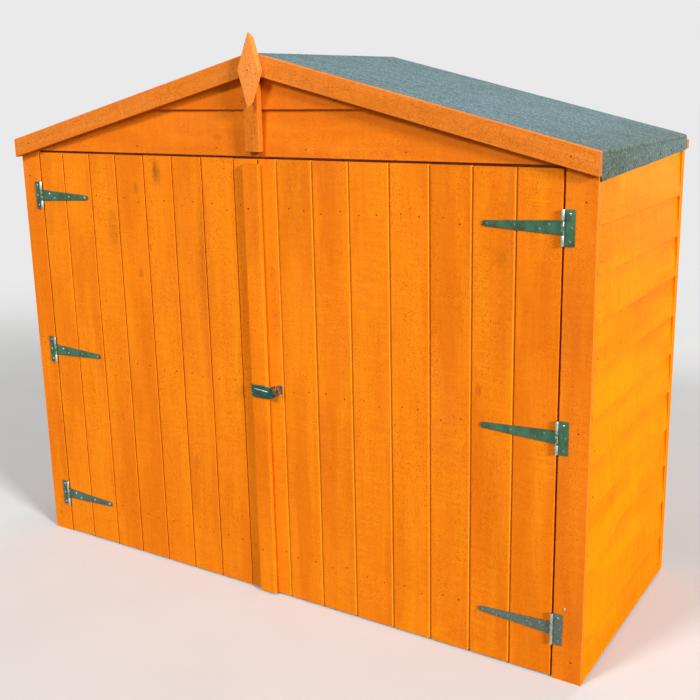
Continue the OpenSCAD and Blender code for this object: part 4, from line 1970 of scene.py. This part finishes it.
@dataclass
class Hinges(Assembly):
    """The three T hinges of one door: leaves on the post, straps on the door."""

    side: Side
    plate_t: float = 2.5 * MM
    corner: float = 1.4 * MM
    knuckle_r: float = 4 * MM
    leaf_bare: float = 1.3
    strap_bare: float = 0.6
    strap_screws: tuple[tuple[float, float], ...] = ((33, 6.0), (55, -6.0), (117, 0.0), (184, 0.0))
    leaf_screws: tuple[tuple[float, float], ...] = ((16, 31.0), (19, 0.0), (16, -31.0))
    bright_over: float = 30.0
    ages: tuple[float, float, float] = (0.95, 0.1, 0.0)
    bright: bool = False

    def build(self) -> None:
        """Build and dress the hinges."""
        door, straps = self.side.door, f"hinge_straps_{self.side.word}"
        pin = Vector(next(j for j in frame["joints"] if j["child"] == door.value)["pos_m"])
        heights = [(low.z + high.z) / 2 for low, high in solids(straps)]
        for part, body, bare in (("leaves", Body.STORE, self.leaf_bare), ("straps", door, self.strap_bare)):
            node = f"hinge_{part}_{self.side.word}"
            barrel = Barrel(pin, self.knuckle_r, bare)
            shape = {"corner": self.corner, "barrel": barrel}
            piece = eased_metal(f"{node}_plates", node, self.finishes.enamel, **shape)
            self._age(piece.data, heights)
            place(piece, body, Slot.ENAMEL, node)
        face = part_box(straps)[1].y - self.plate_t
        for middle in heights:
            for body, way, spots in ((door, -1, self.strap_screws), (Body.STORE, 1, self.leaf_screws)):
                for along, up in spots:
                    bright = self.bright or up > self.bright_over
                    kind = Fixing.BRIGHT_SCREW if bright else Fixing.SCREW
                    at = pin.x + self.side.value * way * along * MM
                    self.fixings.drive(kind, body, Vector((at, face, middle + up * MM)), -Y)

    def _age(self, mesh: bpy.types.Mesh, heights: Sequence[float]) -> None:
        """Store how grey the paint has gone on each hinge.

        Args:
            mesh: The plates of all three hinges.
            heights: The middles of the hinges, lowest first.
        """
        near = [min(range(3), key=lambda k: abs(v.co.z - heights[k])) for v in mesh.vertices]
        ages = mesh.attributes.new("age", "FLOAT", "POINT")
        ages.data.foreach_set("value", [self.ages[k] for k in near])


@dataclass
class Hasp(Assembly):
    """The hasp on the cover strip and the staple on the right door."""

    ease: float = 0.3 * MM
    bead_share: float = 0.70
    bead_at: float = 0.50
    bead_up: float = 0.64
    bead_w: float = 3.2 * MM
    bead_h: float = 1.2 * MM
    bead_sunk: float = 0.2 * MM
    bead_tilt: float = math.radians(5)
    bead_steps: int = 12
    bead_arc: int = 6

    def build(self) -> None:
        """Build and dress the hasp."""
        kinds = self.finishes
        for name, node, finish, body, slot in (
            ("hasp_base_plate", "hasp_base", kinds.enamel, Body.LEFT_DOOR, Slot.ENAMEL),
            ("hasp_flap_plate", "hasp_flap", kinds.flap_enamel, Body.HASP, Slot.ENAMEL),
            ("staple_ring", "staple", kinds.dulled_zinc, Body.RIGHT_DOOR, Slot.ZINC),
        ):
            place(eased_metal(name, node, finish, self.ease), body, slot, node)
        place(self._bead(), Body.HASP, Slot.ENAMEL)

    def _bead(self) -> Piece:
        """The raised bead along the flap, half round with run-out ends.

        Returns:
            The piece.
        """
        low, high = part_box("hasp_flap")
        size = high - low
        middle = Vector((low.x + self.bead_at * size.x, low.y, low.z + self.bead_up * size.z))
        length = size.x * self.bead_share
        sine, cosine = math.sin(self.bead_tilt), math.cos(self.bead_tilt)
        way, over = X * cosine - Z * sine, Z * cosine + X * sine
        ring, points, faces = self.bead_arc + 1, [], []
        for j in range(self.bead_steps + 1):
            along = j / self.bead_steps * 2 - 1
            # The ends keep a small ring, so that no face shrinks to a point.
            swell = (1 - along**4) ** 0.5 if abs(along) < 1 else 0.02
            for k in range(ring):
                turn = math.pi * k / self.bead_arc
                across = math.cos(turn) * self.bead_w / 2 * swell
                out = math.sin(turn) * self.bead_h * swell - self.bead_sunk
                points.append(middle + way * (along * length / 2) + over * across - Y * out)
        for row in range(0, self.bead_steps * ring, ring):
            for k in range(ring):
                n = (k + 1) % ring
                faces.append((row + k, row + n, row + ring + n, row + ring + k))
        faces += [tuple(range(ring)), tuple(range(ring * self.bead_steps, ring * (self.bead_steps + 1)))]
        mesh = bpy.data.meshes.new("hasp_flap_bead")
        mesh.from_pydata(points, [], faces)
        turn_outward(mesh)
        # The bead is bright zinc, not the flap's green enamel: a painted highlight along the flap.
        return smoothed("hasp_flap_bead", mesh, self.finishes.zinc, 50)


@dataclass(frozen=True)
class Lamp:
    """A square soft lamp."""

    name: str
    at: tuple[float, float, float]
    size: float
    power: float

    def build(self, target: Vector) -> None:
        """Hang the lamp.

        Args:
            target: The point that it is aimed at.
        """
        data = bpy.data.lights.new(self.name, "AREA")
        data.shape = "SQUARE"
        data.size = self.size
        data.energy = self.power
        lamp = bpy.data.objects.new(self.name, data)
        lamp.location = self.at
        lamp.rotation_euler = (target - Vector(self.at)).to_track_quat("-Z", "Y").to_euler()
        bpy.context.scene.collection.objects.link(lamp)


@dataclass
class Studio:
    """Floor, light and camera."""

    camera_at: tuple[float, float, float] = (1.61453, -2.41699, 1.42561)
    yaw: float = -0.5533
    tilt: float = -0.2321
    roll: float = -0.0164
    focal: float = 993.96
    centre: tuple[float, float] = (369.54, 319.54)
    frame_px: float = 700.0
    sensor: float = 36.0
    floor_r: float = 14.0
    fade: tuple[float, float] = (2.2, 5.5)
    pale: Colour = (0.64, 0.64, 0.635)
    bounce: Colour = (0.20, 0.20, 0.20)
    backdrop: float = 0.82
    sky: float = 0.35
    aim: float = 0.7
    lamps: tuple[Lamp, ...] = (
        Lamp("side_key", (29.0, -10.0, 11.0), 6.0, 13700.0),
        Lamp("front_fill", (-7.0, -20.0, 15.0), 5.0, 4100.0),
        Lamp("rear_fill", (3.0, 24.0, 4.0), 8.0, 4400.0),
    )

    def build(self) -> None:
        """Set up the stage."""
        bpy.context.scene.view_settings.view_transform = "Standard"
        self._camera()
        self._floor()
        self._world()
        for lamp in self.lamps:
            lamp.build(Z * self.aim)

    def _camera(self) -> None:
        """The camera, at the viewing angle of the picture."""
        data = bpy.data.cameras.new("camera")
        data.sensor_fit = "HORIZONTAL"
        data.sensor_width = self.sensor
        data.lens = self.focal / self.frame_px * self.sensor
        data.shift_x = (self.frame_px / 2 - self.centre[0]) / self.frame_px
        data.shift_y = (self.centre[1] - self.frame_px / 2) / self.frame_px
        camera = bpy.data.objects.new("camera", data)
        heading = Vector((math.sin(self.yaw), math.cos(self.yaw), 0))
        ahead = heading * math.cos(self.tilt) + Z * math.sin(self.tilt)
        level = Vector((math.cos(self.yaw), -math.sin(self.yaw), 0))
        over = level.cross(ahead)
        right = level * math.cos(self.roll) + over * math.sin(self.roll)
        up = over * math.cos(self.roll) - level * math.sin(self.roll)
        turn = Matrix((right, up, -ahead)).transposed().to_4x4()
        camera.matrix_world = Matrix.Translation(Vector(self.camera_at)) @ turn
        bpy.context.scene.collection.objects.link(camera)
        bpy.context.scene.camera = camera

    def _floor(self) -> None:
        """A pale round floor that fades into the backdrop far from the store."""
        bm = bmesh.new()
        bmesh.ops.create_circle(bm, cap_ends=True, segments=96, radius=self.floor_r)
        mesh = bpy.data.meshes.new("floor")
        bm.to_mesh(mesh)
        bm.free()
        material, g = new_material("pale_floor")
        spot = g.place()
        away = g.add("ShaderNodeVectorMath", {0: spot}, operation="LENGTH").outputs["Value"]
        cloud = g.noise(spot, (2.5, 2.5, 2.5), 3.0)
        tint = g.mix(g.step(cloud, 0.3, 0.7), self.pale, tuple(c * 0.97 for c in self.pale))
        inputs = {"Base Color": tint, "Roughness": 0.85, "Specular IOR Level": 0.2}
        ground = g.add("ShaderNodeBsdfPrincipled", inputs).outputs[0]
        far = g.add("ShaderNodeEmission", {"Color": (1, 1, 1, 1), "Strength": self.backdrop}).outputs[0]
        faded = g.add("ShaderNodeMixShader", {0: g.step(away, *self.fade), 1: ground, 2: far}).outputs[0]
        dim = g.add("ShaderNodeBsdfDiffuse", {"Color": (*self.bounce, 1.0)}).outputs[0]
        both = g.add("ShaderNodeMixShader", {0: self._seen(g), 1: dim, 2: faded})
        g.add("ShaderNodeOutputMaterial", {"Surface": both.outputs[0]})
        mesh.materials.append(material)
        shown("floor", mesh)

    def _world(self) -> None:
        """Even light from all round, with a pale backdrop for the camera and for reflections."""
        world = bpy.data.worlds.new("studio")
        bpy.context.scene.world = world
        world.use_nodes = True
        g = Graph(world.node_tree)
        light, pale = [
            g.add("ShaderNodeBackground", {"Color": (1, 1, 1, 1), "Strength": strength}).outputs[0]
            for strength in (self.sky, self.backdrop)
        ]
        both = g.add("ShaderNodeMixShader", {0: self._seen(g), 1: light, 2: pale})
        g.add("ShaderNodeOutputWorld", {"Surface": both.outputs[0]})

    @staticmethod
    def _seen(g: Graph) -> Socket:
        """Find the rays that show the backdrop itself.

        Args:
            g: The graph of the floor or the world.

        Returns:
            1 for the camera's rays and for those of metal and glass.
        """
        path = g.add("ShaderNodeLightPath").outputs
        mirrored = g.math("MAXIMUM", path["Is Glossy Ray"], path["Is Transmission Ray"])
        return g.math("MAXIMUM", path["Is Camera Ray"], mirrored)


def door_marks(*rows: tuple[float, float, float, float, float]) -> tuple[Mark, ...]:
    """Dirty streaks on the doors' faces.

    Args:
        *rows: Each streak's X and Z, half its length and half its width, and its strength.

    Returns:
        The streaks.
    """
    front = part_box("left_door_boards")[0].y
    return tuple(Mark(Vector((x, front, z)), *size) for x, z, *size in rows)


def main() -> None:
    """Build every sub-assembly in order."""
    logging.basicConfig(level=logging.INFO, format="%(message)s")
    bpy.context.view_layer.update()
    shared = Finishes.build(), Fixings()
    left = Door(
        *shared,
        Side.LEFT,
        seams=(-0.7385, -0.628, -0.5235, -0.4135, -0.3065, -0.1995, -0.087),
        gap=1.6 * MM,
        chamfer=3.0 * MM,
        tones=(0.7, 0.6, 0.0, 0.0, 0.0, -0.4, 0.1, 0.1),
        marks=door_marks(
            (-0.367, 1.20, 0.050, 0.014, 1.0),
            (-0.356, 1.19, 0.035, 0.010, 1.0),
            (-0.210, 1.00, 0.22, 0.022, 0.45),
            (-0.545, 1.02, 0.07, 0.034, 0.4),
            (-0.275, 0.35, 0.022, 0.010, 0.7),
        ),
    )
    right = Door(
        *shared,
        Side.RIGHT,
        seams=(0.0565, 0.1675, 0.2775, 0.3935, 0.5045, 0.6165, 0.7265),
        marks=door_marks(
            (0.112, 1.20, 0.22, 0.07, 0.26),
            (0.690, 1.03, 0.03, 0.022, 0.35),
            (0.030, 0.945, 0.022, 0.012, 0.35),
        ),
    )
    left_hinges = Hinges(*shared, Side.LEFT, ages=(0.45, 0.0, 0.0), bright=True)
    right_hinges = Hinges(*shared, Side.RIGHT)
    front_and_walls = (Posts(*shared), Cladding(*shared), Gable(*shared), Roof(*shared), left, right)
    inside_and_metal = (Framing(*shared), left_hinges, right_hinges, Hasp(*shared))
    Studio().build()
    for assembly in (*front_and_walls, *inside_and_metal):
        assembly.build()
    shared[1].dress(shared[0])


if __name__ == "__main__":
    main()
